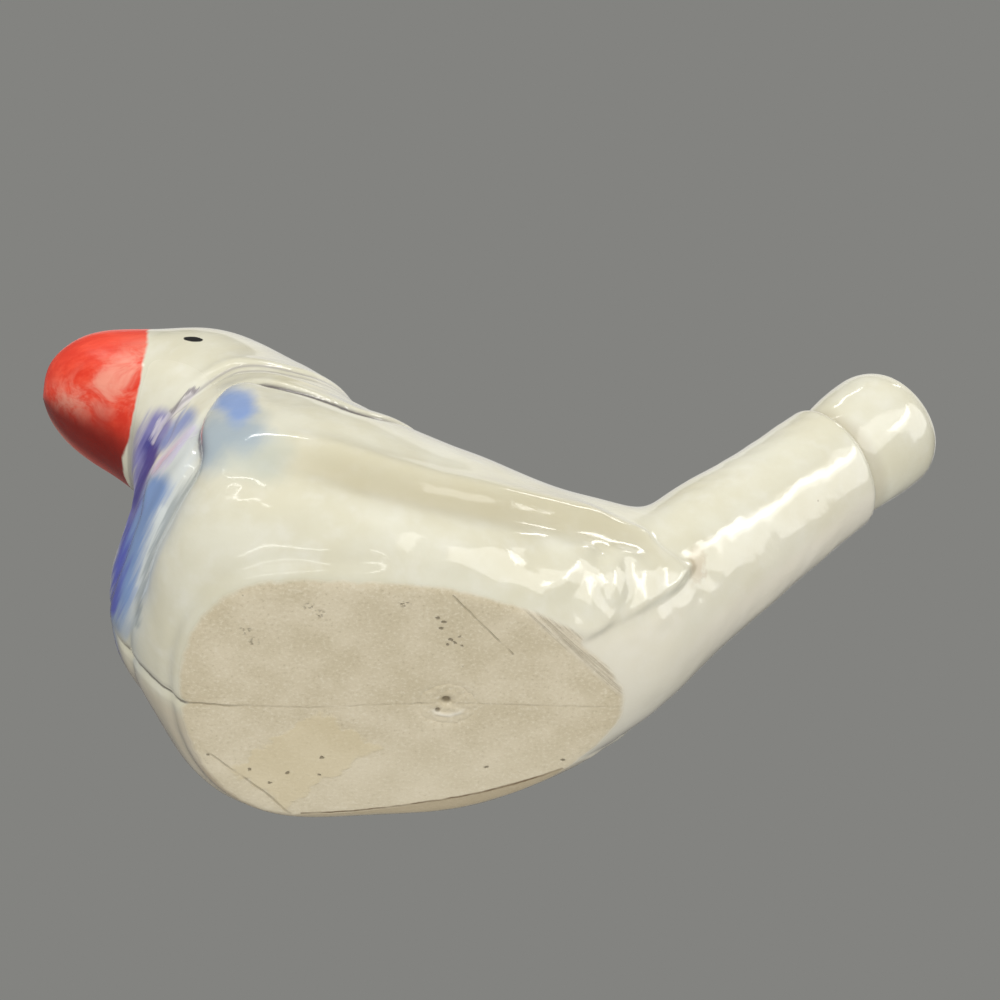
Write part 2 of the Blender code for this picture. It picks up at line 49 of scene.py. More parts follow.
# One row a rib, from the beak to the tail: belly x and z, back x and z, half width, waist, fullness
BODY_RIBS = {
    "beak_tip": (-44.5, 49.3, -44.5, 49.5, 0.0, 0.5, 2.0),
    "beak_round": (-43.3, 46.6, -43.7, 53.1, 3.9, 0.5, 2.0),
    "beak_middle": (-40.4, 43.2, -40.8, 56.1, 6.8, 0.5, 2.0),
    "beak_base": (-36.7, 40.0, -36.6, 57.6, 8.3, 0.5, 2.0),
    "cheek": (-33.3, 36.6, -30.7, 57.8, 9.0, 0.5, 2.0),
    "crown": (-32.0, 33.8, -24.0, 57.5, 10.2, 0.5, 2.0),
    "neck": (-31.4, 31.1, -17.8, 54.8, 11.4, 0.5, 2.0),
    "nape": (-31.4, 27.3, -12.6, 50.1, 13.3, 0.5, 2.0),
    "shoulder": (-31.9, 22.0, -7.6, 44.9, 16.6, 0.48, 2.1),
    "breast": (-32.6, 14.8, -3.2, 39.0, 20.3, 0.44, 2.2),
    "chest": (-29.6, 7.8, 0.3, 35.1, 23.0, 0.4, 2.3),
    "foot_front": (-25.3, 1.3, 4.2, 32.9, 24.6, 0.34, 2.3),
    "flank": (-17.5, -3.4, 6.9, 31.9, 24.3, 0.31, 2.15),
    "belly": (-7.2, -4.6, 10.0, 30.6, 23.0, 0.3, 2.0),
    "loin": (4.1, -4.9, 13.5, 28.9, 21.0, 0.3, 2.0),
    "rump": (14.4, -3.8, 17.6, 27.6, 17.6, 0.34, 2.0),
    "tail_root": (22.9, -0.6, 22.1, 26.9, 14.0, 0.4, 2.0),
    "tail_bend": (29.9, 4.1, 26.4, 26.7, 10.9, 0.46, 2.0),
}

# Tail sleeve, mouthpiece, window and plug, as the solids have them
TAIL_HEEL = np.array([32.5, 0.0, 19.7])
TAIL_RISE = math.radians(45.0)
TAIL_LENGTH = 25.3
TAIL_ROOT_RADIUS = 9.9
TAIL_END_RADIUS = 7.7
TAIL_WAIST = 0.4
TAIL_ROOT_LEAN = math.radians(15.0)
TAIL_END_LEAN = math.radians(39.0)
TAIL_SPANS = 3
BORE_RADIUS = 5.6
WALL = 2.6
FLOOR = 3.0
TIP_LENGTH = 11.7
TIP_RADIUS = 7.5
TIP_ROUNDING = 2.8
SPIGOT_LENGTH = 12.0
SPIGOT_RADIUS = 5.3
MOUTH_BORE_RADIUS = 4.0
WINDOW_LENGTH = 6.6
WINDOW_WIDTH = 7.0
LABIUM_EDGE = 0.7
LABIUM_RAMP = math.radians(32.0)
PLUG_X = 5.0

# The pour hole in the foot and the dish round it: depth, and the radii that the side runs between
HOLE_DEPTH, HOLE_SIDE = 2.1, (2.75, 2.2)
DISH_DEPTH, DISH_SIDE = 0.12, (3.9, 2.9)

# The knife's facet on the foot's left rear edge: the line that it climbs from, its slope and its front end
SHAVE_FROM = np.array([14.5, -13.7])
SHAVE_TO = np.array([24.6, -0.7])
SHAVE_SLOPE = 0.2
SHAVE_FRONT = 8.0

TAIL_AXIS = np.array([math.cos(TAIL_RISE), 0.0, math.sin(TAIL_RISE)])
TAIL_DOWN = np.array([math.sin(TAIL_RISE), 0.0, -math.cos(TAIL_RISE)])
TAIL_END = TAIL_HEEL + TAIL_LENGTH * TAIL_AXIS

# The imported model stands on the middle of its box, and its plug tells how far the ribs are from that
plug_low, plug_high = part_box("base_plug")
MIDDLE_X = PLUG_X - (plug_low.x + plug_high.x) / 2 / MM

# Factors that turn a point of the left half into one of the right
MIRROR = np.array([1.0, -1.0, 1.0])

# Grid of the skins
ROW_STEP = 0.43
LIP_ROWS = 7
LIP_ROUNDING = 1.2
COLUMNS_BELOW_WINDOW = 126
COLUMNS_ON_WINDOW = 14
FOOT_ROUNDING = 0.55


def tail_ribs():
    """Ribs of the tail sleeve: even steps along its axis, with taper, waist and lean changing evenly."""
    share = np.linspace(0, 1, TAIL_SPANS + 1)[:, None]
    radius = TAIL_ROOT_RADIUS + share * (TAIL_END_RADIUS - TAIL_ROOT_RADIUS)
    radius = radius - TAIL_WAIST * np.sin(math.pi * share)
    lean = TAIL_ROOT_LEAN + share * (TAIL_END_LEAN - TAIL_ROOT_LEAN)
    centre = (TAIL_HEEL + share * TAIL_LENGTH * TAIL_AXIS)[:, [0, 2]]
    reach = radius * np.hstack([np.sin(lean), -np.cos(lean)])
    shape = np.tile([0.5, 2.0], (TAIL_SPANS + 1, 1))
    return np.hstack([centre + reach, centre - reach, radius, shape])


RIBS = np.vstack([np.array(list(BODY_RIBS.values())), tail_ribs()])
LAST = len(RIBS) - 1.0
TAIL_FIRST = float(len(BODY_RIBS))


def spline_rows(rows, places):
    """Natural cubic spline through rows one apart, read at places: Hermite spans with solved slopes."""
    last = len(rows) - 1
    system = 4 * np.eye(last + 1) + np.eye(last + 1, k=1) + np.eye(last + 1, k=-1)
    system[0, 0] = system[last, last] = 2
    after = np.vstack([rows[1:], rows[-1:]])
    before = np.vstack([rows[:1], rows[:-1]])
    slopes = np.linalg.solve(system, 3 * (after - before))
    span = np.minimum(places.astype(int), last - 1)
    t = (places - span)[:, None]
    start = rows[span] * (1 + 2 * t) + slopes[span] * t
    end = rows[span + 1] * (3 - 2 * t) - slopes[span + 1] * (1 - t)
    return start * (1 - t) ** 2 + end * t ** 2


def bump(value, centre, width):
    """A bell of height 1 at centre: e to the minus square of the distance over the width."""
    return np.exp(-(((value - centre) / width) ** 2))


def rise(value, start, end):
    """A smooth step from 0 at start to 1 at end, whichever is more: three t squared minus two t cubed."""
    t = np.clip((value - start) / (end - start), 0, 1)
    return t * t * (3 - 2 * t)


def unit(vectors):
    """Vectors divided by their lengths."""
    return vectors / np.maximum(np.linalg.norm(vectors, axis=-1, keepdims=True), 1e-9)


def run_along(line):
    """Length along a line of points, from 0 at its first: the sum of the steps so far."""
    return np.concatenate([[0.0], np.cumsum(np.linalg.norm(np.diff(line, axis=0), axis=1))])


def ripple(points, wavelength, seed, waves=24):
    """Unevenness of about unit height: a sum of sines of like length in seeded random directions."""
    draw = np.random.default_rng(seed)
    direction = unit(draw.normal(size=(waves, 3)))
    number = 2 * math.pi / (wavelength * draw.uniform(0.75, 1.35, waves))
    phase = draw.uniform(0, 2 * math.pi, waves)
    return np.sin(points @ (direction * number[:, None]).T + phase).sum(-1) * math.sqrt(2 / waves)


def drawn_line(knots, at):
    """A line drawn on the loft, read at values of its first part: a spline through knots of two parts."""
    knots = np.array(knots)
    samples = spline_rows(knots, np.linspace(0, len(knots) - 1, 40 * len(knots)))
    return np.interp(at, samples[:, 0], samples[:, 1])


# Lines round the loft: degrees from the belly line, and place in spans from the beak tip
FRONT_LINE = [(0, 10.0), (10, 10.02), (27, 10.06), (39, 10.1), (49, 10.17), (61, 10.12), (68, 10.06),
              (73, 9.9), (76, 9.6), (78.7, 9.1), (81.5, 8.64), (85.5, 8.28), (90, 8.1), (95, 8.12),
              (100, 8.3), (105, 8.5), (111, 8.82), (117, 9.22), (121, 9.6), (124, 10.05), (126, 10.42),
              (130, 10.72), (138, 10.9), (156, 11.0), (180, 11.0)]
NECK_LINE = [(0, 5.2), (20, 5.45), (41, 5.9), (52, 6.18), (63, 6.34), (72, 6.54), (81, 6.74), (94, 6.88),
             (104, 7.05), (113, 7.45), (119, 7.78), (127, 8.15), (142, 8.45), (160, 8.57), (180, 8.6)]
COLLAR_LINE = [(0, 9.1), (15, 9.3), (35, 9.32), (46, 9.15), (52, 8.5), (56, 7.75), (61, 7.05), (68, 6.9),
               (79, 6.95), (88, 7.08), (96, 7.27), (104, 7.62), (111, 8.05), (118, 8.42), (128, 8.9),
               (146, 9.45), (163, 9.65), (180, 9.7)]
# The rear edge of the wing and flank, from the belly line over the wing's tip to the back
TONGUE_LINE = [(0, 14.6), (20, 15.0), (34, 15.4), (43, 15.84), (48, 16.2), (53, 16.9), (58, 17.66),
               (65, 17.5), (75, 17.25), (86, 17.0), (98, 16.8), (109, 16.45), (122, 15.8), (145, 15.0),
               (180, 14.5)]
# The wing's crest, with the place first and the degrees second
CREST_LINE = [(0, 78), (3, 80), (6, 84), (8.5, 89), (10.2, 97), (11.0, 104), (11.8, 108), (12.7, 108.5),
              (13.6, 110), (14.6, 113), (15.6, 112), (16.5, 108), (17.4, 100), (18.6, 92), (21, 86)]


def relief(place, angle):
    """Height of the broad modelling over the plain loft, in millimetres: neck crease and ruff folds.

    Each is a bell across a drawn line, times smooth steps that end it.
    """
    degrees = np.degrees(angle)
    front, neck, collar = (drawn_line(line, degrees) for line in (FRONT_LINE, NECK_LINE, COLLAR_LINE))
    middle = neck + 0.5 * (collar - neck) * rise(degrees, 58, 70)
    crease = -0.55 * bump(place, middle, 0.3)
    on_ruff = rise(degrees, 6, 24) * rise(degrees, 82, 66)
    ruff_edge = -0.35 * on_ruff * bump(place, front, 0.25)
    ruff_folds = 0.3 * on_ruff * (bump(place, front - 0.45, 0.22) + bump(place, front - 1.0, 0.28))
    return crease + ruff_edge + ruff_folds


def loft(places, angles, inset=0.0, modelled=True):
    """Points of the loft, rows by columns: two half superellipses a ring that meet at the rib's waist.

    Angles run from 0 at the belly line to pi at the back line. inset draws each ring in, and the
    relief moves a modelled ring outwards from its waist. The left side is at negative y.
    """
    rows = spline_rows(RIBS, places)
    belly_x, belly_z, back_x, back_z, half_width, waist, fullness = rows.T[:, :, None]
    angle = angles[None, :]
    length = np.maximum(np.hypot(back_x - belly_x, back_z - belly_z), 1e-6)
    exponent = np.where(angle <= math.pi / 2, 2 / fullness, 1.0)
    cosine = np.cos(angle)
    along = -np.sign(cosine) * np.abs(cosine) ** exponent
    across = np.abs(np.sin(angle)) ** exponent
    along = along * np.where(along < 0, waist * length - inset, (1 - waist) * length - inset)
    across = across * (half_width - inset)
    if modelled:
        reach = np.hypot(along, across)
        grow = 1 + relief(places[:, None], angle) / np.maximum(reach, TIP_ROUNDING)
        along = along * grow
        across = across * grow
    share = waist + along / length
    x = belly_x + share * (back_x - belly_x)
    z = belly_z + share * (back_z - belly_z)
    return np.stack([x, -across, z], axis=-1)


def tangents(points):
    """Steps along the rows and columns of a half skin, with mirrored columns past both seam lines."""
    wide = np.concatenate([points[:, 1:2] * MIRROR, points, points[:, -2:-1] * MIRROR], axis=1)
    return np.gradient(points, axis=0), np.gradient(wide, axis=1)[:, 1:-1]


def outward(points):
    """Unit normals of a half skin: along the rows crossed with across them."""
    along, across = tangents(points)
    return unit(np.cross(along, across))


def surface_distance(field, points):
    """Distance in millimetres from where a field is zero: the field over its slope on the surface."""
    along, across = tangents(points)
    e = (along * along).sum(-1)
    f = (along * across).sum(-1)
    g = (across * across).sum(-1)
    field_along, field_across = np.gradient(field)
    slope = g * field_along ** 2 - 2 * f * field_along * field_across + e * field_across ** 2
    return field / np.sqrt(np.maximum(slope / np.maximum(e * g - f * f, 1e-9), 1e-6))


def line_distance(places, degrees, points, ahead):
    """Distance in millimetres from a line drawn on the loft, with the sign of a field that changes on it.

    The line's nearest sample is found first, then the nearest point on the line's tangent there.
    """
    line = np.einsum("iij->ij", loft(places, np.radians(degrees)))
    tangent = np.gradient(line, axis=0)
    step = np.linalg.norm(tangent, axis=1)
    tangent = unit(tangent)
    flat = points.reshape(-1, 3)
    squares = (flat ** 2).sum(1)[:, None] + (line ** 2).sum(1)[None, :] - 2 * flat @ line.T
    nearest = squares.argmin(axis=1)
    off = flat - line[nearest]
    run = np.clip((off * tangent[nearest]).sum(1), -step[nearest], step[nearest])
    far = np.linalg.norm(off - run[:, None] * tangent[nearest], axis=1)
    return np.copysign(far.reshape(ahead.shape), ahead)


def tail_coordinates(points):
    """Run along the tail axis from the sleeve end, and height over the axis on the back side."""
    offset = points - TAIL_END
    return offset @ TAIL_AXIS, -(offset @ TAIL_DOWN)


def place_on_tail(run):
    """Place along the loft whose back line lies at a run along the tail axis."""
    places = np.linspace(TAIL_FIRST, LAST, 400)
    runs, _ = tail_coordinates(loft(places, np.array([math.pi]))[:, 0])
    return float(np.interp(run, runs, places))


WINDOW_FROM = place_on_tail(-SPIGOT_LENGTH - WINDOW_LENGTH)
WINDOW_TO = place_on_tail(-SPIGOT_LENGTH)
WINDOW_ANGLE = math.pi - math.asin(WINDOW_WIDTH / 2 / (TAIL_END_RADIUS + TAIL_ROOT_RADIUS) * 2)
LIP_FROM = LAST - LIP_ROUNDING * TAIL_SPANS / TAIL_LENGTH


def skin_places():
    """Places of the rows: even by length along the waist line, with rows on the window's ends and lip."""
    fine = np.linspace(0, LAST, 4001)
    line = loft(fine, np.array([math.pi / 2]))[:, 0]
    run = run_along(line)
    marks = np.interp([0.0, WINDOW_FROM, WINDOW_TO, LIP_FROM], fine, run)
    counts = np.ceil(np.diff(marks) / ROW_STEP).astype(int)
    runs = [np.linspace(a, b, n, endpoint=False) for a, b, n in zip(marks, marks[1:], counts)]
    lip = LIP_FROM + (LAST - LIP_FROM) * np.sin(np.linspace(0, math.pi / 2, LIP_ROWS))
    places = np.concatenate([np.interp(np.concatenate(runs), run, fine), lip])
    window_rows = int(counts[0]), int(counts[0] + counts[1])
    return places, window_rows


def skin_angles():
    """Angles of the columns: even from the belly line to the window's side, then even to the back."""
    below = np.linspace(0, WINDOW_ANGLE, COLUMNS_BELOW_WINDOW, endpoint=False)
    return np.concatenate([below, np.linspace(WINDOW_ANGLE, math.pi, COLUMNS_ON_WINDOW)])


def soft_floor(height, rounding):
    """Heights kept above zero with a rounded edge: half of the height plus its root with the rounding."""
    return (height + np.sqrt(height ** 2 + rounding ** 2)) / 2


def modelling(points, place, angle, side):
    """Fine modelling along the normals, in millimetres, and the fields that the glaze reads.

    Grooves, ridges and valleys are bells across the distance from a drawn line, and lips and steps are
    smooth steps across it. Chin and breast swell by bells along the loft, and the seam cracks open along
    the belly line. The glaze's waves are ripples, higher on the flank and highest towards its rear.
    """
    degrees = np.degrees(angle)
    turn, spans = np.linspace(0, 180, 360), np.linspace(0, LAST, 360)
    front, neck, collar, tongue = (
        line_distance(drawn_line(line, turn), turn, points, place - drawn_line(line, degrees))
        for line in (FRONT_LINE, NECK_LINE, COLLAR_LINE, TONGUE_LINE))
    above_crest = degrees - drawn_line(CREST_LINE, place)
    crest = line_distance(spans, drawn_line(CREST_LINE, spans), points, above_crest)
    above_foot = points[..., 2]
    seen = points * np.array([1.0, side, 1.0])

    # The far side, which the photograph hides, gets calmer waves and a lower step
    sided = 1.0 if side > 0 else 0.3
    wing_side = rise(degrees, 66, 84)
    low_edge = wing_side * rise(degrees, 108, 98)
    lip = (0.5 * low_edge + 0.1) * rise(front, -0.15, 0.7) * rise(front, 9.0, 1.0)
    cape = 0.4 * rise(degrees, 92, 112) * rise(front, 0.4, -0.5) * rise(-front, 7.5, 0.6)
    groove = -0.45 * low_edge * bump(front, -0.15, 0.7) - 0.2 * (1 - wing_side) * bump(front, -0.3, 1.2)
    groove = groove - 0.25 * rise(degrees, 98, 108) * bump(front, 0.1, 0.6)
    neck_fold = -0.24 * bump(neck, 0, 0.6) - 0.12 * bump(neck, 1.5, 0.5) + 0.12 * bump(neck, -1.5, 0.9)
    neck_fold = rise(degrees, 20, 60) * neck_fold
    collar_fold = -0.2 * bump(collar, 0, 0.6) + 0.14 * bump(collar, 1.3, 0.8)
    chin = (0.5 * bump(place, 5.4, 0.5) + 0.6 * bump(place, 6.9, 0.9)) * rise(degrees, 44, 20)
    breast = 1.1 * bump(place, 9.7, 0.9) * rise(degrees, 26, 3)
    breast = breast - 0.5 * bump(place, 9.1, 0.7) * bump(degrees, 36, 13)

    on_wing = rise(place, 10.0, 12.0) * rise(-tongue, -0.5, 2.5)
    ridge = on_wing * (0.55 * bump(crest, 0.2, 2.2) - 0.75 * bump(crest, -3.3, 2.4))
    step_band = rise(degrees, 30, 46) * rise(degrees, 110, 96)
    step = 0.55 * sided * step_band * rise(-tongue, -0.6, 0.8) * rise(-tongue, 12.0, 2.0)

    edge = surface_distance(above_foot, points)
    on_front = rise(place, 13.6, 12.2)
    rim = on_front * (0.12 * bump(edge, 0.9, 0.8) - 0.22 * bump(edge, 2.3, 0.7))

    on_glaze = rise(above_foot, 0.2, 2.0)
    flank = on_glaze * rise(place, 10.6, 12.3) * rise(-crest, 4.5, 7.0) * rise(-tongue, -0.4, 0.8)
    chop = flank * (0.45 + 0.55 * rise(place, 13.6, 16.2))
    waves = on_glaze * (0.012 * ripple(seen, 4.2, 11) + 0.03 * ripple(seen, 11.0, 12))
    rear = rise(place, 14.4, 16.0)
    waves = waves + sided * chop * (0.17 * ripple(seen, 6.0, 14) + 0.1 * rear * ripple(seen, 2.8, 13))
    haunch = sided * bump(tongue, 2.2, 2.2) * rise(degrees, 30, 42) * rise(degrees, 72, 60)
    waves = waves + 0.06 * on_glaze * haunch * ripple(seen, 3.0, 18)
    on_tail = rise(place, 17.4, 18.4)
    waves = waves + on_tail * (0.014 * ripple(seen, 5.0, 16) + 0.008 * ripple(seen, 2.4, 17))
    shoulder = bump(place, 11.1, 0.8) * bump(degrees, 79, 10)
    waves = waves + 0.03 * shoulder * ripple(seen, 3.2, 15)
    tip_fade = rise(place, 0.15, 1.2)

    crack_run = rise(place, 9.5, 9.9) * rise(place, 11.7, 11.2) * rise(degrees, 90, 60)
    crack = -0.4 * crack_run * bump(points[..., 1], 0, 0.3)
    height = lip + cape + groove + neck_fold + collar_fold + chin + breast + ridge + step + rim + crack
    fields = {"front_mm": front, "neck_mm": neck, "collar_mm": collar}
    fields.update({"crest_mm": crest, "tongue_mm": tongue})
    return tip_fade * (height + waves), fields


def cut_labium(points):
    """The ramp below the window: in its width, heights over the tail axis are kept under a plane."""
    run, height = tail_coordinates(points)
    window_end = -SPIGOT_LENGTH - WINDOW_LENGTH
    ramp = BORE_RADIUS + LABIUM_EDGE + (window_end - run) * math.tan(LABIUM_RAMP)
    inside = rise(np.abs(points[..., 1]), WINDOW_WIDTH / 2 + 0.35, WINDOW_WIDTH / 2 - 0.1)
    near = inside * (run < window_end + 0.2) * (run > window_end - 9.0) * (height > 0)
    return points + (near * np.maximum(height - ramp, 0))[..., None] * TAIL_DOWN


def outer_skin(places, angles, side):
    """Outside of a half: the loft with its modelling, flattened softly on the foot, and its fields."""
    lip = np.clip((places - LIP_FROM) / (LAST - LIP_FROM), 0, 1)
    inset = (LIP_ROUNDING * (1 - np.sqrt(1 - lip ** 2)))[:, None]
    points = loft(places, angles, inset)
    place, angle = np.broadcast_arrays(places[:, None], angles[None, :])
    height, fields = modelling(points, place, angle, side)
    points = cut_labium(points + height[..., None] * outward(points))
    above_foot = points[..., 2].copy()
    points[..., 2] = np.maximum(soft_floor(above_foot, FOOT_ROUNDING), shaved_edge(points, side))
    plug_run = np.hypot(points[..., 0] - PLUG_X, points[..., 1])
    on_foot = rise(above_foot, -0.2, -0.6)
    hole = HOLE_DEPTH * rise(plug_run, *HOLE_SIDE) + DISH_DEPTH * rise(plug_run, *DISH_SIDE)
    points[..., 2] += on_foot * hole
    points[:, [0, -1], 1] = 0.0
    fields.update({"place": place, "angle": np.degrees(angle), "above_foot": above_foot})
    return points, fields


def shaved_edge(points, side):
    """Height of the knife's facet on the rear of the foot's left edge: a plane that climbs past a line."""
    run = unit(SHAVE_TO - SHAVE_FROM)
    past = (points[..., 0] - SHAVE_FROM[0]) * run[1] - (points[..., 1] - SHAVE_FROM[1]) * run[0]
    on_left_rear = (side > 0) * (points[..., 0] > SHAVE_FRONT)
    return SHAVE_SLOPE * np.maximum(past, 0) * on_left_rear


def inner_skin(places, angles):
    """Inside of a half: the plain loft drawn in by the wall, over the floor, and the bore in the tail.

    It starts behind the outer skin with a domed end, and its rows join the outer ones from there on.
    """
    inner = places + 2.0 * rise(places, 8, 0)
    half_width = spline_rows(RIBS, inner)[:, 4]
    in_tail = rise(inner, 16.6, TAIL_FIRST + 0.2)
    inset = WALL + in_tail * (half_width - BORE_RADIUS - WALL)
    points = loft(inner, angles, inset[:, None], modelled=False)
    centre = points.mean(axis=1, keepdims=True) * np.array([1.0, 0.0, 1.0])
    dome = np.sqrt(1 - (1 - np.clip((inner - inner[0]) / 1.2, 0, 1)) ** 2)[:, None, None]
    points = centre + dome * (points - centre)
    points[..., 2] = FLOOR + soft_floor(points[..., 2] - FLOOR, 0.4)
    points[:, [0, -1], 1] = 0.0
    return points


def grid_quads(index):
    """Quads between the neighbours of an index grid, rows first."""
    return np.stack([index[:-1, :-1], index[1:, :-1], index[1:, 1:], index[:-1, 1:]], axis=-1)


def skin_border(index, window_rows, window_column):
    """The border of a half skin as one loop: belly line, sleeve end, back line round the window, beak."""
    low, high = window_rows
    belly = index[:, 0]
    end = index[-1, 1:]
    back = index[-2:high - 1:-1, -1]
    window_top = index[high, -2:window_column - 1:-1]
    window_side = index[high - 1:low - 1:-1, window_column]
    window_foot = index[low, window_column + 1:]
    rest = index[low - 1::-1, -1]
    beak = index[0, -2:0:-1]
    return np.concatenate([belly, end, back, window_top, window_side, window_foot, rest, beak])


def put_object(name, data):
    """A new object of a mesh, a light or a camera, linked to the scene."""
    made = bpy.data.objects.new(name, data)
    bpy.context.scene.collection.objects.link(made)
    return made


def put_mesh(name, points, quads, finish, fields=None):
    """A smooth mesh object of points in millimetres of the rib frame, with its fields as attributes."""
    mesh = bpy.data.meshes.new(name)
    placed = (points.reshape(-1, 3) - np.array([MIDDLE_X, 0.0, 0.0])) * MM
    mesh.from_pydata(placed, [], quads.reshape(-1, 4))
    for field, values in (fields or {}).items():
        layer = mesh.attributes.new(field, "FLOAT", "POINT")
        layer.data.foreach_set("value", np.ascontiguousarray(values, dtype=np.float32).ravel())
    mesh.materials.append(finish)
    mesh.shade_smooth()
    mesh.set_sharp_from_angle(angle=math.radians(50))
    return put_object(name, mesh)


def body_half(name, node, side, finish):
    """One moulded half: outer skin, inner skin and a rim that joins their borders into a closed shell."""
    places, window_rows = skin_places()
    angles = skin_angles()
    outer, fields = outer_skin(places, angles, side)
    inner = inner_skin(places, angles)
    count = outer.shape[0] * outer.shape[1]
    index = np.arange(count).reshape(outer.shape[:2])
    keep = np.ones((index.shape[0] - 1, index.shape[1] - 1), bool)
    keep[window_rows[0]:window_rows[1], COLUMNS_BELOW_WINDOW:] = False
    outside = grid_quads(index)[keep]
    inside = outside[:, ::-1] + count
    loop = skin_border(index, window_rows, COLUMNS_BELOW_WINDOW)
    following = np.roll(loop, -1)
    rim = np.stack([following, loop, loop + count, following + count], axis=-1)
    quads = np.concatenate([outside, inside, rim])
    points = np.concatenate([outer.reshape(-1, 3), inner.reshape(-1, 3)])
    if side < 0:
        points = points * MIRROR
        quads = quads[:, ::-1]
    fields = {key: np.concatenate([value.ravel(), np.zeros(count)]) for key, value in fields.items()}
    fields["inside"] = np.repeat([0.0, 1.0], count)
    piece = put_mesh(name, points, quads, finish, fields)
    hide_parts(node)
    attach(piece, "root")


def round_profile(corners, step):
    """A closed profile through corners of radius, run and rounding: straight runs with arcs between.

    At each corner the profile leaves one side and meets the next where an arc of the rounding touches
    both. The arc is the quadratic curve between those two points that bends at the corner.
    """
    corners = np.array(corners)
    spot, rounding = corners[:, :2], corners[:, 2]
    before = np.roll(spot, 1, axis=0) - spot
    after = np.roll(spot, -1, axis=0) - spot
    enter = spot + unit(before) * rounding[:, None]
    leave = spot + unit(after) * rounding[:, None]
    t = np.linspace(0, 1, 9)[None, :, None]
    arcs = enter[:, None] * (1 - t) ** 2 + 2 * spot[:, None] * t * (1 - t) + leave[:, None] * t ** 2
    outline = arcs.reshape(-1, 2)
    closed = np.vstack([outline, outline[:1]])
    run = run_along(closed)
    even = np.linspace(0, run[-1], int(run[-1] / step), endpoint=False)
    return np.stack([np.interp(even, run, closed[:, 0]), np.interp(even, run, closed[:, 1])], axis=-1)


def ring_quads(rows, columns):
    """Quads of a grid that closes on itself both ways."""
    index = np.arange(rows * columns).reshape(rows, columns)
    index = np.concatenate([index, index[:1]])
    index = np.concatenate([index, index[:, :1]], axis=1)
    return grid_quads(index)


def mouthpiece(finish):
    """The turned tip: a profile of radius and run carried round the tail axis.

    Its shoulder lies on the sleeve's leaning end, and ripples make its radius faintly uneven.
    """
    profile = round_profile([
        (MOUTH_BORE_RADIUS, TIP_LENGTH, 0.6), (TIP_RADIUS - 1.4, TIP_LENGTH - 0.2, 1.0),
        (TIP_RADIUS - 0.1, TIP_LENGTH - 2.3, 1.4), (TIP_RADIUS, 5.5, 1.6), (TIP_RADIUS - 0.5, 1.1, 1.0),
        (TIP_RADIUS - 1.0, -0.3, 0.3), (SPIGOT_RADIUS, -0.3, 0.2),
        (SPIGOT_RADIUS, -SPIGOT_LENGTH, 0.3), (MOUTH_BORE_RADIUS, -SPIGOT_LENGTH, 0.2)], 0.32)
    turn = np.linspace(0, 2 * math.pi, 128, endpoint=False)[:, None]
    radius, run = profile[None, :, 0], profile[None, :, 1]
    shoulder = rise(run, 6.0, 0.5)
    run = run + shoulder * math.tan(TAIL_END_LEAN - TAIL_RISE) * radius * np.cos(turn)
    spoke = np.cos(turn)[..., None] * TAIL_DOWN + np.sin(turn)[..., None] * [0.0, 1.0, 0.0]
    flat = radius[..., None] * spoke
    points = TAIL_END + run[..., None] * TAIL_AXIS + flat
    outside = rise(radius, 5.8, 6.6)[..., None]
    swell = 0.03 * ripple(points, 9.0, 21) + 0.012 * ripple(points, 3.6, 22)
    points = points + outside * swell[..., None] * flat / radius[..., None]
    piece = put_mesh("glazed_mouthpiece", points, ring_quads(*points.shape[:2])[..., ::-1], finish)
    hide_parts("mouthpiece")
    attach(piece, "root")


def plug(finish):
    """The clay pressed in the pour hole: a disc profile turned about its axis, with an uneven edge.

    The lower face is level with the foot, with two bell-shaped pits and a ridge round part of it.
    """
    profile = round_profile([(0.02, 0.02, 0.01), (2.9, 0.02, 0.2), (3.4, 0.12, 0.08), (3.4, 0.5, 0.1),
                             (2.55, 0.7, 0.1), (2.45, 2.05, 0.1), (0.02, 2.05, 0.01)], 0.11)
    turn = np.linspace(0, 2 * math.pi, 72, endpoint=False)[:, None]
    radius, height = profile[None, :, 0], profile[None, :, 1]
    lobes = 1 + rise(radius, 1.5, 3.0) * (0.04 * np.sin(3 * turn + 0.6) + 0.03 * np.sin(5 * turn + 2.0))
    points = np.stack(np.broadcast_arrays(
        PLUG_X + radius * lobes * np.cos(turn), radius * lobes * np.sin(turn), height), axis=-1).copy()
    under = rise(points[..., 2], 0.9, 0.3)
    x, y = points[..., 0] - PLUG_X, points[..., 1]
    pit = np.exp(-((x + 0.15) ** 2 + (y + 0.55) ** 2) / 0.36)
    small_pit = np.exp(-((x + 1.1) ** 2 + (y - 1.0) ** 2) / 0.12)
    ridge = np.exp(-((np.hypot(x, y + 0.2) - 1.9) / 0.3) ** 2) * rise(y, 0.3, 1.4)
    dents = 0.02 + 0.7 * pit + 0.4 * small_pit - 0.1 * ridge
    points[..., 2] += under * (dents + 0.02 * ripple(points, 1.1, 31))
    fields = {"hollow": under * np.maximum(pit, small_pit), "crescent": under * ridge}
    piece = put_mesh("pour_hole_plug", points, ring_quads(*points.shape[:2]), finish, fields)
    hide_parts("base_plug")
    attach(piece, "root")


def operator(operation, swapped=False):
    """A method that adds a Math node on a wire and another value, or on the value and the wire."""
    def method(self, other=0.0):
        first, second = (other, self) if swapped else (self, other)
        return self.node("Math", {"operation": operation}, {0: first, 1: second})
    return method


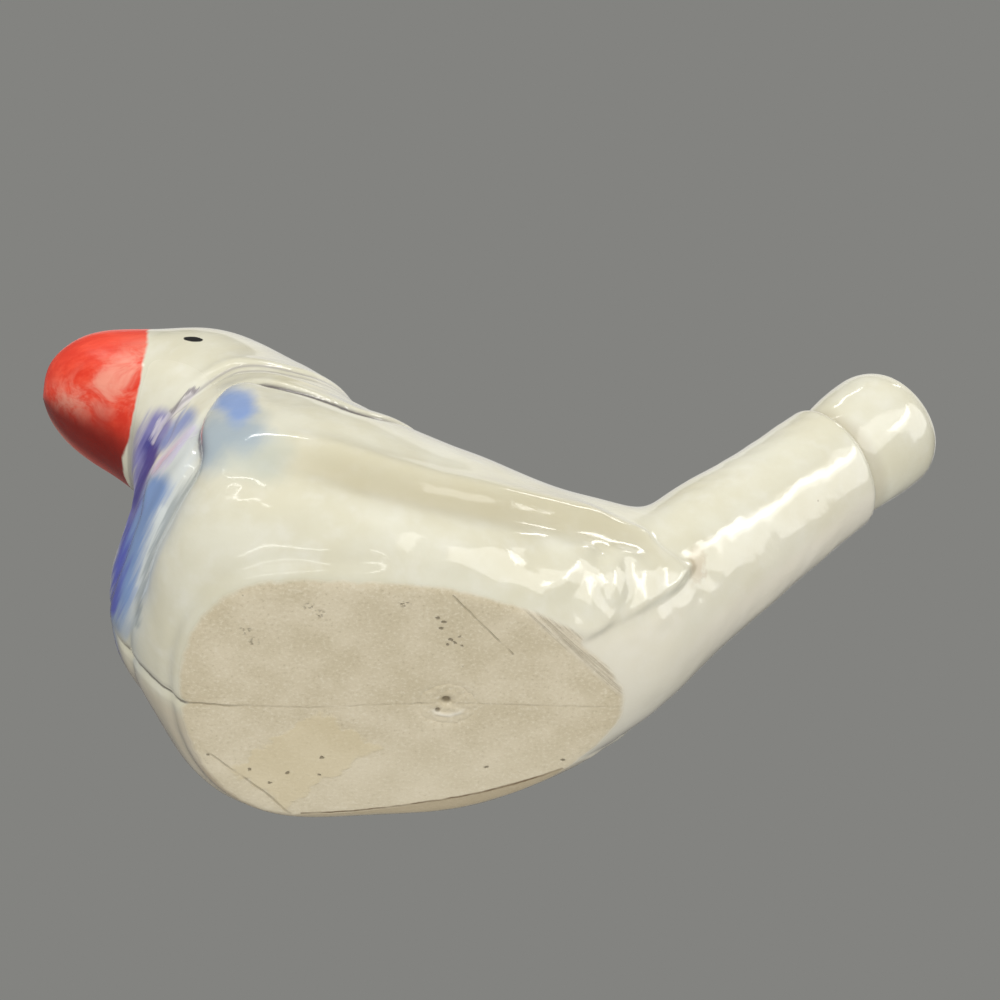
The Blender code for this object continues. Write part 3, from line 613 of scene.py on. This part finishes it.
class Wire:
    """A socket in a node tree. Python's operators on wires and numbers add Math nodes."""

    def __init__(self, tree, socket=None):
        self.tree = tree
        self.socket = socket

    def node(self, kind, settings=None, sockets=None, out=0):
        """A new node: its settings first, then values or wires in its sockets."""
        made = self.tree.nodes.new("ShaderNode" + kind)
        for key, value in (settings or {}).items():
            setattr(made, key, value)
        for key, value in (sockets or {}).items():
            if isinstance(value, Wire):
                self.tree.links.new(value.socket, made.inputs[key])
            else:
                made.inputs[key].default_value = value
        return Wire(self.tree, made.outputs[out])

    __add__, __radd__ = operator("ADD"), operator("ADD", swapped=True)
    __sub__, __rsub__ = operator("SUBTRACT"), operator("SUBTRACT", swapped=True)
    __mul__, __rmul__ = operator("MULTIPLY"), operator("MULTIPLY", swapped=True)
    __truediv__, __rtruediv__ = operator("DIVIDE"), operator("DIVIDE", swapped=True)
    __pow__, __rpow__ = operator("POWER"), operator("POWER", swapped=True)
    __abs__ = operator("ABSOLUTE")
    most, least = operator("MAXIMUM"), operator("MINIMUM")

    def __neg__(self):
        return self * -1.0

    def bell(self, centre, width):
        """e to the minus square of the distance from centre over width."""
        off = (self - centre) / width
        return math.e ** -(off * off)

    def rise(self, start, end):
        """A smooth step from 0 at start to 1 at end, whichever is more."""
        ends = {"Value": self, "From Min": start, "From Max": end}
        return self.node("MapRange", {"interpolation_type": "SMOOTHSTEP"}, ends)

    def over(self, under, mask):
        """This colour over another, by a mask."""
        return self.node("Mix", {"data_type": "RGBA"}, {0: mask, 6: under, 7: self}, out=2)


# Height of the materials' bumps, in millimetres
BUMP = 0.12


class Finish:
    """A new material, with the surface fields that its shader reads."""

    def __init__(self, name):
        self.material = bpy.data.materials.new(name)
        self.material.use_nodes = True
        tree = self.material.node_tree
        self.shader = tree.nodes["Principled BSDF"]
        self.wire = Wire(tree)
        self.spot = self.vector("SCALE", self.wire.node("TexCoord", out=3), 1 / MM)
        self.x, self.y, self.z = (
            self.wire.node("SeparateXYZ", {}, {0: self.spot}, out=axis) for axis in range(3))

    def vector(self, operation, first, second, out=0):
        """A Vector Math node on two vectors, or on a vector and its scale."""
        place = 3 if operation == "SCALE" else 1
        return self.wire.node("VectorMath", {"operation": operation}, {0: first, place: second}, out)

    def field(self, name):
        """A float attribute of the mesh."""
        return self.wire.node("Attribute", {"attribute_name": name}, out=2)

    def colour(self, red, green, blue):
        """A fixed colour as a wire, from its values as the eye sees them, 0 to 255."""
        made = self.wire.node("RGB")
        made.socket.default_value = (*linear(red, green, blue), 1.0)
        return made

    def paint(self, shade, *layers):
        """A shade with colours laid over it in turn, each by its mask."""
        for colour, mask in layers:
            shade = self.colour(*colour).over(shade, mask)
        return shade

    def noise(self, wavelength, detail=2.0, stretch=(1.0, 1.0, 1.0), roughness=0.5, distortion=0.0):
        """Noise of a wavelength in millimetres, about 0.5 in the middle, stretched along the axes."""
        sized = tuple(1 / (wavelength * part) for part in stretch)
        at = self.vector("MULTIPLY", self.spot, sized)
        sockets = {"Vector": at, "Scale": 1.0, "Detail": detail}
        sockets.update({"Roughness": roughness, "Distortion": distortion})
        return self.wire.node("TexNoise", {}, sockets)

    def strands(self, across, along, width, length, detail=2.0):
        """Noise drawn out along a line: narrow in the distance across it and long in the run along it."""
        at = self.wire.node("CombineXYZ", {}, {0: across / width, 1: along / length, 2: self.y * 0.03})
        return self.wire.node("TexNoise", {}, {"Vector": at, "Scale": 1.0, "Detail": detail})

    def flat(self, wobble, wavelength):
        """The spot on the plane of the foot, moved by noise of a reach and a wavelength in millimetres."""
        sockets = {"Vector": self.spot, "Scale": 1 / wavelength, "Detail": 2.0}
        shift = self.wire.node("TexNoise", {}, sockets, out=1)
        centred = self.vector("SUBTRACT", shift, (0.5, 0.5, 0.5))
        moved = self.vector("ADD", self.spot, self.vector("SCALE", centred, wobble))
        return self.vector("MULTIPLY", moved, (1.0, 1.0, 0.0))

    def sprayed(self, wobble):
        """The spot as the airbrush sees it, on a plane that leans 45 degrees from either side.

        Strands of noise, drawn out steeply upwards to the rear, move the spot across themselves.
        """
        up = (self.z + abs(self.y)) * math.sqrt(0.5)
        across, along = self.x * 0.87 - up * 0.5, self.x * 0.5 + up * 0.87
        shift = (self.strands(across, along, 0.5, 9.0, 4.0) - 0.5) * wobble
        return self.wire.node("CombineXYZ", {}, {0: self.x + shift * 0.87, 1: up - shift * 0.5})

    def spots(self, flat, centres):
        """Distance on a plane to the nearest of some points, in millimetres."""
        far = [self.vector("DISTANCE", flat, (*centre, 0.0), out=1) for centre in centres]
        return functools.reduce(Wire.least, far)

    def path(self, flat, corners):
        """Distance on a plane to a chain of straight runs, in millimetres.

        On each run the nearest point lies at the share of it that the dot product gives, kept to 0 to 1.
        """
        far = []
        for start, end in zip(corners, corners[1:]):
            run = (end[0] - start[0], end[1] - start[1], 0.0)
            off = self.vector("SUBTRACT", flat, (*start, 0.0))
            dot = self.vector("DOT_PRODUCT", off, run, out=1)
            share = (dot / (run[0] ** 2 + run[1] ** 2)).most(0.0).least(1.0)
            far.append(self.vector("DISTANCE", off, self.vector("SCALE", run, share), out=1))
        return functools.reduce(Wire.least, far)

    def dots(self, spacing, radius, share):
        """Round dots on a share of the cells of a grid that is jittered: 1 in a dot, 0 outside."""
        sockets = {"Vector": self.spot, "Scale": 1 / spacing, "Randomness": 1.0}
        near = self.wire.node("TexVoronoi", {}, sockets, out=0)
        cell = self.wire.node("TexVoronoi", {}, sockets, out=1)
        pick = self.wire.node("SeparateColor", {}, {0: cell}, out=0)
        chosen = pick.rise(share, share - 0.02)
        return near.rise(radius / spacing, radius / spacing * 0.45) * chosen

    def out(self, colour, roughness, height, coat=None):
        """Link the shader's varying sockets and set its fixed ones."""
        bumped = self.wire.node("Bump", {}, {"Strength": 1.0, "Distance": BUMP * MM, "Height": height})
        varying = {"Base Color": colour, "Roughness": roughness, "Normal": bumped}
        fixed = {"Metallic": 0.0, "IOR": 1.5}
        if coat is not None:
            varying["Coat Weight"] = coat
            fixed["Coat Roughness"] = 0.04
        for name, wire in varying.items():
            self.material.node_tree.links.new(wire.socket, self.shader.inputs[name])
        for name, value in fixed.items():
            self.shader.inputs[name].default_value = value
        return self.material


def linear(*values):
    """Colour values from 0 to 255, as the eye sees them, made linear."""
    shares = np.array(values) / 255
    curved = ((shares + 0.055) / 1.055) ** 2.4
    return tuple(float(share) for share in np.where(shares > 0.04045, curved, shares / 12.92))


def ivory(finish):
    """Ivory glaze: two near shades in clouds, warmer where it is thick, with sparse small specks."""
    clouds = finish.noise(7.0, 4.0).rise(0.32, 0.68)
    milky = finish.noise(2.6, 4.0).rise(0.45, 0.8)
    return finish.paint(
        finish.colour(233, 231, 213),
        ((222, 217, 191), clouds * 0.65),
        ((240, 239, 228), milky * 0.45),
        ((146, 128, 96), finish.dots(4.2, 0.16, 0.10) * 0.6))


# Airbrush strokes in order: colour, strength, soft edge from and to, and chain on the leaning plane
BREAST_STROKES = [
    ((214, 222, 226), 0.75, (3.0, 0.8),
     [(-32.6, 29.5), (-34.0, 25.1), (-34.9, 22.3), (-35.8, 19.3), (-37.6, 13.2)]),
    ((114, 148, 204), 0.9, (2.8, 0.6),
     [(-36.0, 23.8), (-37.8, 21.2), (-38.8, 18.5), (-39.7, 15.2), (-41.0, 9.0)]),
    ((84, 88, 188), 0.9, (1.6, 0.1), [(-39.4, 22.2), (-40.4, 17.0), (-41.2, 13.0), (-41.6, 10.4)]),
    ((196, 206, 210), 0.6, (2.6, 0.2), [(-38.9, 9.4), (-40.6, 7.6)]),
    ((128, 124, 190), 0.92, (2.8, 0.8),
     [(-38.0, 31.2), (-39.2, 29.6), (-39.8, 27.6), (-39.8, 25.2), (-39.8, 22.2)]),
    ((74, 68, 150), 0.95, (2.1, 0.4), [(-38.9, 28.8), (-38.5, 26.6), (-39.0, 24.6), (-39.5, 22.8)]),
    ((108, 136, 206), 0.8, (2.0, 0.1), [(-33.9, 31.9), (-35.5, 30.2), (-36.6, 29.0)]),
    ((212, 204, 228), 0.85, (1.0, 0.1), [(-32.7, 30.4), (-35.1, 27.3), (-36.7, 25.8)]),
    ((228, 222, 230), 0.8, (0.55, 0.05), [(-33.6, 35.2), (-35.6, 33.0), (-37.9, 31.5), (-38.8, 29.4)]),
    ((126, 116, 128), 0.7, (0.32, 0.06), [(-33.4, 35.6), (-35.2, 34.3), (-36.5, 32.8)]),
    # Pale streak along the ruff's ridge: a painted highlight
    ((226, 233, 233), 0.8, (1.0, 0.2), [(-34.9, 21.2), (-36.1, 18.3), (-36.8, 15.8), (-37.6, 13.2)]),
    # Grey line along the breast's groove: painted shade
    ((136, 148, 156), 0.55, (0.75, 0.05),
     [(-31.1, 26.0), (-33.9, 21.3), (-36.2, 16.8), (-38.0, 11.8), (-38.2, 8.8)]),
]
WING_STROKES = [
    ((188, 197, 190), 0.6, (4.2, 0.5), [(-28.5, 28.2), (-23.5, 27.0)]),
    ((164, 181, 196), 0.8, (3.8, 0.5), [(-30.4, 27.6), (-29.7, 30.4), (-25.8, 30.0)]),
    ((138, 167, 222), 0.9, (2.6, 0.2), [(-28.7, 33.8), (-27.5, 33.3), (-27.1, 32.4)]),
]

# The eyes, in millimetres from the middle of the part
EYE_X = -34.8
EYE_Z = 49.0
EYE_HALF_LENGTH = 1.2
EYE_HALF_HEIGHT = 0.68
EYE_TILT = 0.32


def past_sleeve(finish):
    """Distance past the end of the tail's sleeve, along the tail, in millimetres."""
    run = finish.x + float(MIDDLE_X - TAIL_END[0])
    climb = finish.z - float(TAIL_END[2])
    return run * math.cos(TAIL_RISE) + climb * math.sin(TAIL_RISE)


def body_finish():
    """The halves: ivory glaze with a red beak, blue and violet airbrush, black eyes and a bare foot."""
    finish = Finish("painted_body_glaze")
    place, angle, above = (finish.field(name) for name in ("place", "angle", "above_foot"))
    front, neck, collar = (finish.field(name) for name in ("front_mm", "neck_mm", "collar_mm"))
    crest, tongue, inside = (finish.field(name) for name in ("crest_mm", "tongue_mm", "inside"))
    soft = finish.noise(5.0, 3.0) - 0.5
    fine = finish.noise(1.3, 3.0) - 0.5

    # Yellowish painted shade over the wing's crest, deeper in the valley under it where the glaze also
    # pools; painted light low on haunch and tail; grey painted shadow at the throat under the chin
    on_wing = place.rise(10.0, 12.6) * (-tongue).rise(-0.5, 2.0)
    valley = on_wing * crest.bell(-3.4, 2.7) * (1 - place.rise(14.0, 15.6) * 0.5)
    on_tail = place.rise(16.6, 18.2)
    uneven = angle + soft * 14.0
    painted_light_under_tail = on_tail * uneven.rise(60.0, 22.0)
    painted_light_tail_bottom = on_tail * angle.rise(26.0, 8.0)
    painted_light_low_haunch = place.rise(13.6, 15.2) * (1 - on_tail) * uneven.rise(60.0, 34.0)
    cape = angle.rise(104.0, 116.0) * (front + soft * 1.5).bell(-2.2, 1.4) * (-front).rise(0.0, 0.2)
    blush = angle.rise(74.0, 60.0) * front.rise(-0.2, 0.4)
    blush = blush * (front + soft * 4.0).rise(5.0, 0.4)
    painted_chin_shadow = place.rise(4.0, 4.2) * (place + soft * 0.4).rise(5.2, 4.5)
    painted_chin_shadow = painted_chin_shadow * angle.rise(54.0, 30.0)
    shade = finish.paint(
        ivory(finish),
        # Yellowish painted shade over the wing's crest
        ((210, 202, 170), on_wing * crest.bell(-0.5, 3.6) * 0.55),
        # Thick glaze pooled in the valley, deepened as painted shade
        ((186, 176, 144), valley * 0.5),
        # Painted light under the tail, strongest at its bottom, and low on the haunch
        ((238, 232, 214), painted_light_under_tail * 0.3),
        ((246, 240, 226), painted_light_tail_bottom * 0.6),
        ((243, 238, 224), painted_light_low_haunch * 0.6),
        ((214, 205, 160), cape * 0.4),
        ((204, 211, 212), blush * 0.5),
        # Grey painted shadow under the chin
        ((140, 136, 134), painted_chin_shadow * 0.55))

    # Airbrush strokes on the throat and breast, ahead of the wing's front edge, and on the wing
    sprayed, cloudy = finish.sprayed(2.6), finish.sprayed(1.0)
    ahead = place.rise(4.2, 4.7) * angle.rise(92.0, 80.0) * front.rise(2.6, 1.4)
    ahead = ahead * (1 - finish.y.rise(-2.4, 0.6) * finish.z.rise(12.4, 9.4))
    for colour, strength, (outer, inner), chain in BREAST_STROKES:
        stroke = finish.path(sprayed, chain).rise(outer, inner)
        shade = finish.paint(shade, (colour, stroke * ahead * strength))
    behind = front.rise(-0.1, 0.4) * angle.rise(64.0, 74.0) * place.rise(13.0, 12.0)
    for colour, strength, (outer, inner), chain in WING_STROKES:
        stroke = (finish.path(cloudy, chain) + soft * 2.4).rise(outer, inner)
        shade = finish.paint(shade, (colour, stroke * behind * strength))

    # Painted shade in the crease at the wing's front, where dark glaze also pools, and fine painted shade
    # lines in the folds of the neck
    crease = front.bell(0.1, 0.34) * angle.rise(74.0, 82.0) * angle.rise(146.0, 128.0)
    front_pool_and_shade = front.bell(0.15, 0.9) * front.rise(-0.3, 0.0) * angle.bell(78.0, 4.5)
    folds = (neck.bell(0.0, 0.3) * 0.55).most(neck.bell(1.35, 0.22) * 0.4)
    folds = folds.most(collar.bell(0.0, 0.3) * 0.3) * angle.rise(40.0, 62.0)
    shade = finish.paint(
        shade, ((94, 88, 92), crease * 0.9), ((96, 90, 112), front_pool_and_shade * 0.75), ((150, 144, 150), folds))

    # Red beak, brushed on over the glaze: lighter where it is thin, dark below where it ran together, with
    # painted shade on the underside
    edge_place = 4.12 + angle.bell(60.0, 26.0) * 0.16 - angle.rise(96.0, 126.0) * 0.16
    edge_place = edge_place - angle.rise(34.0, 8.0) * 0.3 + fine * 0.12
    red = (edge_place - place).rise(-0.06, 0.06)
    brush = finish.noise(1.5, 4.0, (3.5, 1.0, 1.0), 0.6).rise(0.35, 0.75)
    thin = finish.noise(4.0, 4.0, (1.6, 1.0, 1.0), 0.65, 0.6).rise(0.35, 0.63)
    low_paint_and_shade = (angle + soft * 16.0).rise(50.0, 8.0)
    beak = finish.paint(
        finish.colour(236, 62, 40),
        ((250, 84, 58), brush),
        ((250, 166, 144), thin * (angle - finish.x * 4.9).bell(280.0, 26.0) * 0.9),
        ((112, 14, 6), low_paint_and_shade * 0.92))
    shade = beak.over(shade, red)

    # Black eyes, and crawled brown glaze at the wing's tip
    eye_x = (finish.x - EYE_X) / EYE_HALF_LENGTH
    eye_z = (finish.z - EYE_Z + (finish.x - EYE_X) * EYE_TILT) / EYE_HALF_HEIGHT
    eye_far = (eye_x * eye_x + eye_z * eye_z) ** 0.5 + (finish.noise(0.7, 2.0) - 0.5) * 0.3
    eye = eye_far.rise(1.08, 0.92) * (-neck).rise(0.2, 0.8)
    crawl_far = (((abs(finish.y) - 8.5) / 1.7) ** 2.0 + ((finish.x - 23.6) / 1.2) ** 2.0) ** 0.5
    crawl = (crawl_far + fine * 1.6).rise(1.1, 0.5) * finish.z.bell(13.0, 2.0)

    # Painted shade on the far side's glaze over the foot's far edge and on the far breast, and thick glaze
    # in the mouthpiece's joint, darkened as painted shade
    far_rim_shade = finish.y.rise(9.0, 12.0) * above.rise(2.4, 0.4) * place.rise(17.0, 16.0)
    far_breast_shade = finish.y.rise(0.4, 4.0) * place.rise(9.3, 9.9) * place.rise(13.5, 12.0)
    joint = past_sleeve(finish).rise(-1.3, 0.1) * (1 - inside)
    shade = finish.paint(
        shade,
        ((12, 10, 10), eye),
        ((186, 166, 134), crawl * 0.55),
        ((182, 164, 130), far_rim_shade * 0.55),
        ((196, 178, 154), far_breast_shade * angle.rise(66.0, 40.0) * 0.5),
        ((196, 188, 166), joint * 0.45))

    # Bare foot, with glaze that thins out over its edge, and the mould seam that opens on the breast
    foot = (above + (finish.noise(2.0, 3.0) - 0.5) * 0.5).rise(0.35, -0.1)
    bare, bare_height = bisque(finish)
    crack = abs(finish.y + fine * 0.3).rise(0.3, 0.08) * angle.rise(90.0, 60.0) * (1 - foot)
    crack = crack * place.rise(9.5, 9.9) * place.rise(11.7, 11.2)
    shade = finish.paint(
        bare.over(shade, foot), ((112, 106, 98), crack * 0.85), ((206, 192, 164), inside))

    matte = foot.most(inside)
    peel = finish.noise(1.3, 2.0)
    throat = ahead * place.rise(9.4, 8.6) * (1 - red)
    roughness = 0.09 + peel * 0.05 + crawl * 0.25 + red * 0.12 + throat * 0.4 + matte * 0.7
    height = peel * 0.3 * (1 - matte) + bare_height * foot + red * brush * 0.25
    return finish.out(shade, roughness, height, coat=(1 - matte) * (1 - red) * (1 - throat) * 0.6)


# Marks on the foot, in millimetres from the middle of the part: chains of lines, pits and dark dots
FOOT_SEAM = [(-34.0, 0.0), (-31.2, -0.2), (-28.6, 0.15), (-24.5, 0.2), (-19.5, 0.5), (-12.0, 0.0),
             (-4.3, -0.3), (15.0, 0.5)]
FOOT_CRACK = [(-31.4, 7.9), (-27.7, 11.9), (-24.0, 16.3), (-22.4, 19.0)]
# The foot's far edge, with a painted shadow line, and the strip of far flank beyond it, which gets painted
# shade
FOOT_FAR_EDGE = [(-21.0, 18.9), (-15.0, 18.4), (-9.8, 17.4), (-5.0, 16.3), (-0.7, 15.1), (4.0, 13.2),
                 (8.6, 11.0)]
FOOT_FAR_STRIP = [(-21.0, 20.5), (-15.0, 20.0), (-9.8, 18.9), (-0.7, 16.6), (8.6, 12.5)]
FOOT_SCRATCH = [(-3.3, -17.3), (3.0, -8.3)]
FOOT_PITS = [(-25.8, -12.2), (-24.8, -10.3), (-18.7, -15.6), (-17.7, -14.5), (-8.5, -16.1)]
FOOT_DOTS = [(-5.0, -14.0), (-4.45, -13.4), (-4.65, -12.45), (-3.7, -10.6), (-4.0, -9.8), (-3.25, -10.1),
             (-2.7, -10.9), (-2.5, -9.65), (-31.1, 8.5), (-26.5, 11.0), (-24.4, 13.3), (-22.3, 11.6),
             (-18.7, 11.9), (-18.3, 8.8), (0.1, 10.5), (8.7, 9.3)]

# Start of the knife's marks and its run, and the middle, turn and half sizes of the dried residue
KNIFE_START = (5.3, -13.7)
KNIFE_RUN = (0.613, 0.79)
RESIDUE_MIDDLE = (-20.4, 9.2)
RESIDUE_TURN = (0.72, -0.69)
RESIDUE_HALF = (7.4, 4.6)


def bisque(finish):
    """Bare fired clay of the foot: mottled and grainy, with a seam, pits, scratches, dried residue and
    painted shade along its far edge.

    Lines and pits darken and lower the clay within a distance of their paths and points.
    """
    mottle = finish.noise(6.0, 4.0).rise(0.32, 0.7)
    grain = finish.noise(0.45, 3.0, (1.0, 1.0, 1.0), 0.7)
    plain, loose = finish.flat(0.25, 1.2), finish.flat(1.1, 4.0)
    broken = finish.noise(0.55, 3.0)
    crumbs = finish.noise(0.5, 2.0).rise(0.5, 0.62)
    pits = finish.spots(loose, FOOT_PITS).rise(0.9, 0.25) * crumbs
    dots = (finish.spots(plain, FOOT_DOTS) + (broken - 0.5)).rise(0.26, 0.06)
    sand = finish.dots(2.6, 0.16, 0.14) * broken.rise(0.35, 0.55)
    marks = (pits * 0.6).most(dots * 0.8).most(sand * 0.4)
    along = finish.noise(3.0, 2.0).rise(0.3, 0.62)
    seam = finish.path(plain, FOOT_SEAM).rise(0.24, 0.05)
    seam = seam * (finish.x.rise(-24.0, -32.0) * 0.5 + along * 0.25)
    crack = finish.path(loose, FOOT_CRACK).rise(0.22, 0.05) * (along * 0.4 + 0.1)
    scratch = finish.path(plain, FOOT_SCRATCH).rise(0.16, 0.05) * (along * 0.5 + 0.05)
    scored = seam.most(crack).most(scratch)
    # Painted shadow line along the foot's far edge, and painted shade on the strip of far flank beyond it
    far_edge_shadow = finish.path(plain, FOOT_FAR_EDGE).rise(0.22, 0.06) * (along * 0.5 + 0.4)
    far_strip_shade = finish.path(plain, FOOT_FAR_STRIP).rise(1.6, 1.1)

    # Parallel marks of the knife along the shaved rear edge
    from_x, from_y = finish.x - KNIFE_START[0], finish.y - KNIFE_START[1]
    across = from_x * KNIFE_RUN[1] - from_y * KNIFE_RUN[0]
    lengthwise = from_x * KNIFE_RUN[0] + from_y * KNIFE_RUN[1]
    knife = across.rise(-0.5, 0.3) * across.rise(4.4, 3.4) * finish.x.rise(1.0, 5.0)
    knife_lines = knife * finish.strands(across, lengthwise, 0.12, 9.0, 3.0).rise(0.48, 0.66)

    off_x, off_y = finish.x - RESIDUE_MIDDLE[0], finish.y - RESIDUE_MIDDLE[1]
    wide = abs(off_x * RESIDUE_TURN[0] + off_y * RESIDUE_TURN[1]) / RESIDUE_HALF[0]
    high = abs(off_x * -RESIDUE_TURN[1] + off_y * RESIDUE_TURN[0]) / RESIDUE_HALF[1]
    residue = (wide.most(high) + (finish.noise(2.2, 3.0) - 0.5) * 0.8).rise(1.04, 0.9)

    shade = finish.paint(
        finish.colour(212, 200, 171),
        ((227, 216, 190), mottle),
        ((242, 234, 214), grain.rise(0.48, 0.74) * 0.6),
        ((170, 156, 126), grain.rise(0.44, 0.24) * 0.45),
        ((240, 231, 207), finish.y.rise(3.0, 12.0) * 0.3),
        ((226, 211, 172), residue * 0.45),
        ((244, 238, 224), knife * 0.3),
        ((186, 172, 140), knife_lines * 0.4),
        ((150, 136, 108), scored),
        ((164, 146, 114), far_strip_shade * 0.6),
        ((112, 90, 62), far_edge_shadow),
        ((98, 86, 62), marks * 0.85))
    lines = scored.most(knife_lines * 0.4)
    return shade, grain * 0.5 - marks * 1.2 - lines * 1.2 + residue * 0.5


def tip_finish():
    """The mouthpiece: the same ivory glaze, thick in its joint with the sleeve and darker there as painted
    shade.
    """
    finish = Finish("ivory_tip_glaze")
    shade = finish.paint(ivory(finish), ((192, 184, 162), past_sleeve(finish).rise(2.0, 0.2) * 0.5))
    peel = finish.noise(1.5, 2.0)
    return finish.out(shade, 0.09 + peel * 0.05, peel * 0.35, coat=0.6 - peel * 0.05)


def clay_finish():
    """Bare clay of the inner pieces: two shades in blotches, a sandy grain and small pits."""
    finish = Finish("inner_clay")
    mottle = finish.noise(3.0, 4.0).rise(0.3, 0.7)
    grain = finish.noise(0.7, 3.0)
    pits = finish.dots(1.6, 0.2, 0.2)
    shade = finish.paint(
        finish.colour(190, 174, 142), ((214, 200, 172), mottle), ((116, 102, 80), pits * 0.6))
    return finish.out(shade, 0.72 + grain * 0.2, grain - pits * 2.0)


def plug_finish():
    """The plug in the clay of the foot around it, with painted shade in its hollows and a pale crescent."""
    finish = Finish("plug_clay")
    shade, height = bisque(finish)
    hollow, crescent = finish.field("hollow").rise(0.25, 0.8), finish.field("crescent")
    shade = finish.paint(shade, ((246, 242, 230), crescent * 0.6), ((104, 91, 68), hollow * 0.75))
    return finish.out(shade, 0.79 + finish.noise(1.3, 2.0) * 0.05, height)


# The camera: its place in metres, its lens in millimetres and its tilt from straight down
CAMERA_PLACE = (0.001627, -0.26343, -0.23154)
CAMERA_LENS = 114.55
CAMERA_TILT = math.radians(135.0)

# Colour of the studio's light, and its lights: name, direction, distance, width, height and power
WARM_WHITE = (1.0, 0.985, 0.95)
LIT_PANELS = [
    ("camera_panel", (0.0, -0.75, -0.66), 0.80, 1.0, 0.9, 4.1),
    ("upper_panel", (0.10, -0.52, 0.85), 0.80, 1.0, 0.7, 3.0),
    ("head_panel", (-0.50, -0.55, 0.67), 0.70, 0.6, 0.5, 0.9),
    ("far_panel", (0.20, 0.85, 0.40), 0.90, 1.0, 0.8, 2.2),
]
RIGHT_WINDOW = ("right_window", (0.785, -0.615, 0.14), 0.60, 0.07, 0.27, 0.32)
MIRRORED_PANELS = [
    ("wide_window", (0.61, -0.78, -0.09), 0.60, 0.46, 0.44, 1.2),
    ("back_panel", (0.25, 0.44, 0.88), 0.80, 1.0, 0.60, 0.9),
    ("right_wall", (0.93, -0.30, 0.20), 0.60, 0.36, 0.40, 0.85),
    ("rear_glint", (0.48, -0.18, 0.86), 0.50, 0.10, 0.04, 0.06),
    ("left_strip", (-0.36, -0.67, 0.65), 0.50, 0.22, 0.022, 0.08),
    ("low_left_strip", (-0.45, -0.82, 0.33), 0.50, 0.20, 0.02, 0.06),
    ("top_glint", (-0.12, -0.38, 0.92), 0.50, 0.09, 0.02, 0.04),
    ("low_strip", (-0.30, -0.60, -0.74), 0.60, 0.40, 0.02, 0.12),
]


def stage_floor():
    """A wide pale floor under the part, which only shows from above."""
    size, drop = 4.0, 0.0003
    points = [(-size, -size, -drop), (size, -size, -drop), (size, size, -drop), (-size, size, -drop)]
    mesh = bpy.data.meshes.new("floor")
    mesh.from_pydata(points, [], [(0, 1, 2, 3)])
    floor = put_object("floor", mesh)
    floor.visible_diffuse = False
    floor.visible_glossy = False
    floor.visible_shadow = False
    material = bpy.data.materials.new("pale_floor")
    material.use_nodes = True
    tree = material.node_tree
    wire = Wire(tree)
    grey = linear(206, 206, 202)
    pale = wire.node("BsdfDiffuse", {}, {"Color": (*grey, 1.0)})
    clear = wire.node("BsdfTransparent")
    below = wire.node("NewGeometry", out=6)
    mixed = wire.node("MixShader", {}, {0: below, 1: pale, 2: clear})
    tree.links.new(mixed.socket, tree.nodes["Material Output"].inputs["Surface"])
    mesh.materials.append(material)


def stage_world():
    """Even grey behind the part, a pale soft surround for its light, and a dimmer one in its reflections."""
    world = bpy.data.worlds.new("studio")
    bpy.context.scene.world = world
    world.use_nodes = True
    tree = world.node_tree
    wire = Wire(tree)
    seen = wire.node("Background", {}, {"Color": (*linear(131, 131, 128), 1.0), "Strength": 1.0})
    soft = wire.node("Background", {}, {"Color": (*WARM_WHITE, 1.0), "Strength": 0.5})
    mirrored = wire.node("Background", {}, {"Color": (*WARM_WHITE, 1.0), "Strength": 0.14})
    camera_ray, glossy_ray = wire.node("LightPath", out=0), wire.node("LightPath", out=3)
    mixed = wire.node("MixShader", {}, {0: glossy_ray, 1: soft, 2: mirrored})
    mixed = wire.node("MixShader", {}, {0: camera_ray, 1: mixed, 2: seen})
    tree.links.new(mixed.socket, tree.nodes["World Output"].inputs["Surface"])


def softbox(name, direction, distance, width, height, power, shows=True, lights=True):
    """A soft light of a width and height in metres, at a distance in a direction, facing the part.

    The glaze mirrors it if it shows, and it brightens the part if it lights.
    """
    light = bpy.data.lights.new(name, "AREA")
    light.shape = "RECTANGLE"
    light.size = width
    light.size_y = height
    light.energy = power
    light.color = WARM_WHITE
    lamp = put_object(name, light)
    facing = Vector(direction).normalized()
    lamp.location = Vector((0.0, 0.0, 0.025)) + facing * distance
    lamp.rotation_mode = "QUATERNION"
    lamp.rotation_quaternion = facing.to_track_quat("Z", "Y")
    lamp.visible_camera = False
    lamp.visible_diffuse = lights
    lamp.visible_glossy = shows


def stage_lights():
    """Panels that light the part and don't show in the glaze, a window that does both, and mirrored ones."""
    for panel in LIT_PANELS:
        softbox(*panel, shows=False)
    softbox(*RIGHT_WINDOW)
    for panel in MIRRORED_PANELS:
        softbox(*panel, lights=False)


def stage_camera():
    """The camera at the photograph's angle, square to the bird's left side and 45 degrees below it."""
    camera = bpy.data.cameras.new("camera")
    camera.sensor_width = 36.0
    camera.lens = CAMERA_LENS
    camera.clip_start = 0.01
    seat = put_object("camera", camera)
    seat.location = CAMERA_PLACE
    seat.rotation_euler = (CAMERA_TILT, 0.0, 0.0)
    bpy.context.scene.camera = seat


stage_camera()
stage_floor()
stage_world()
stage_lights()
bpy.context.scene.view_settings.view_transform = "Standard"

glaze = body_finish()
body_half("left_glazed_half", "left_body_half", 1, glaze)
body_half("right_glazed_half", "right_body_half", -1, glaze)
mouthpiece(tip_finish())
plug(plug_finish())
inner_clay = clay_finish()
for node in ("fipple_block", "sound_tube"):
    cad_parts[node].material_slots[0].material = inner_clay
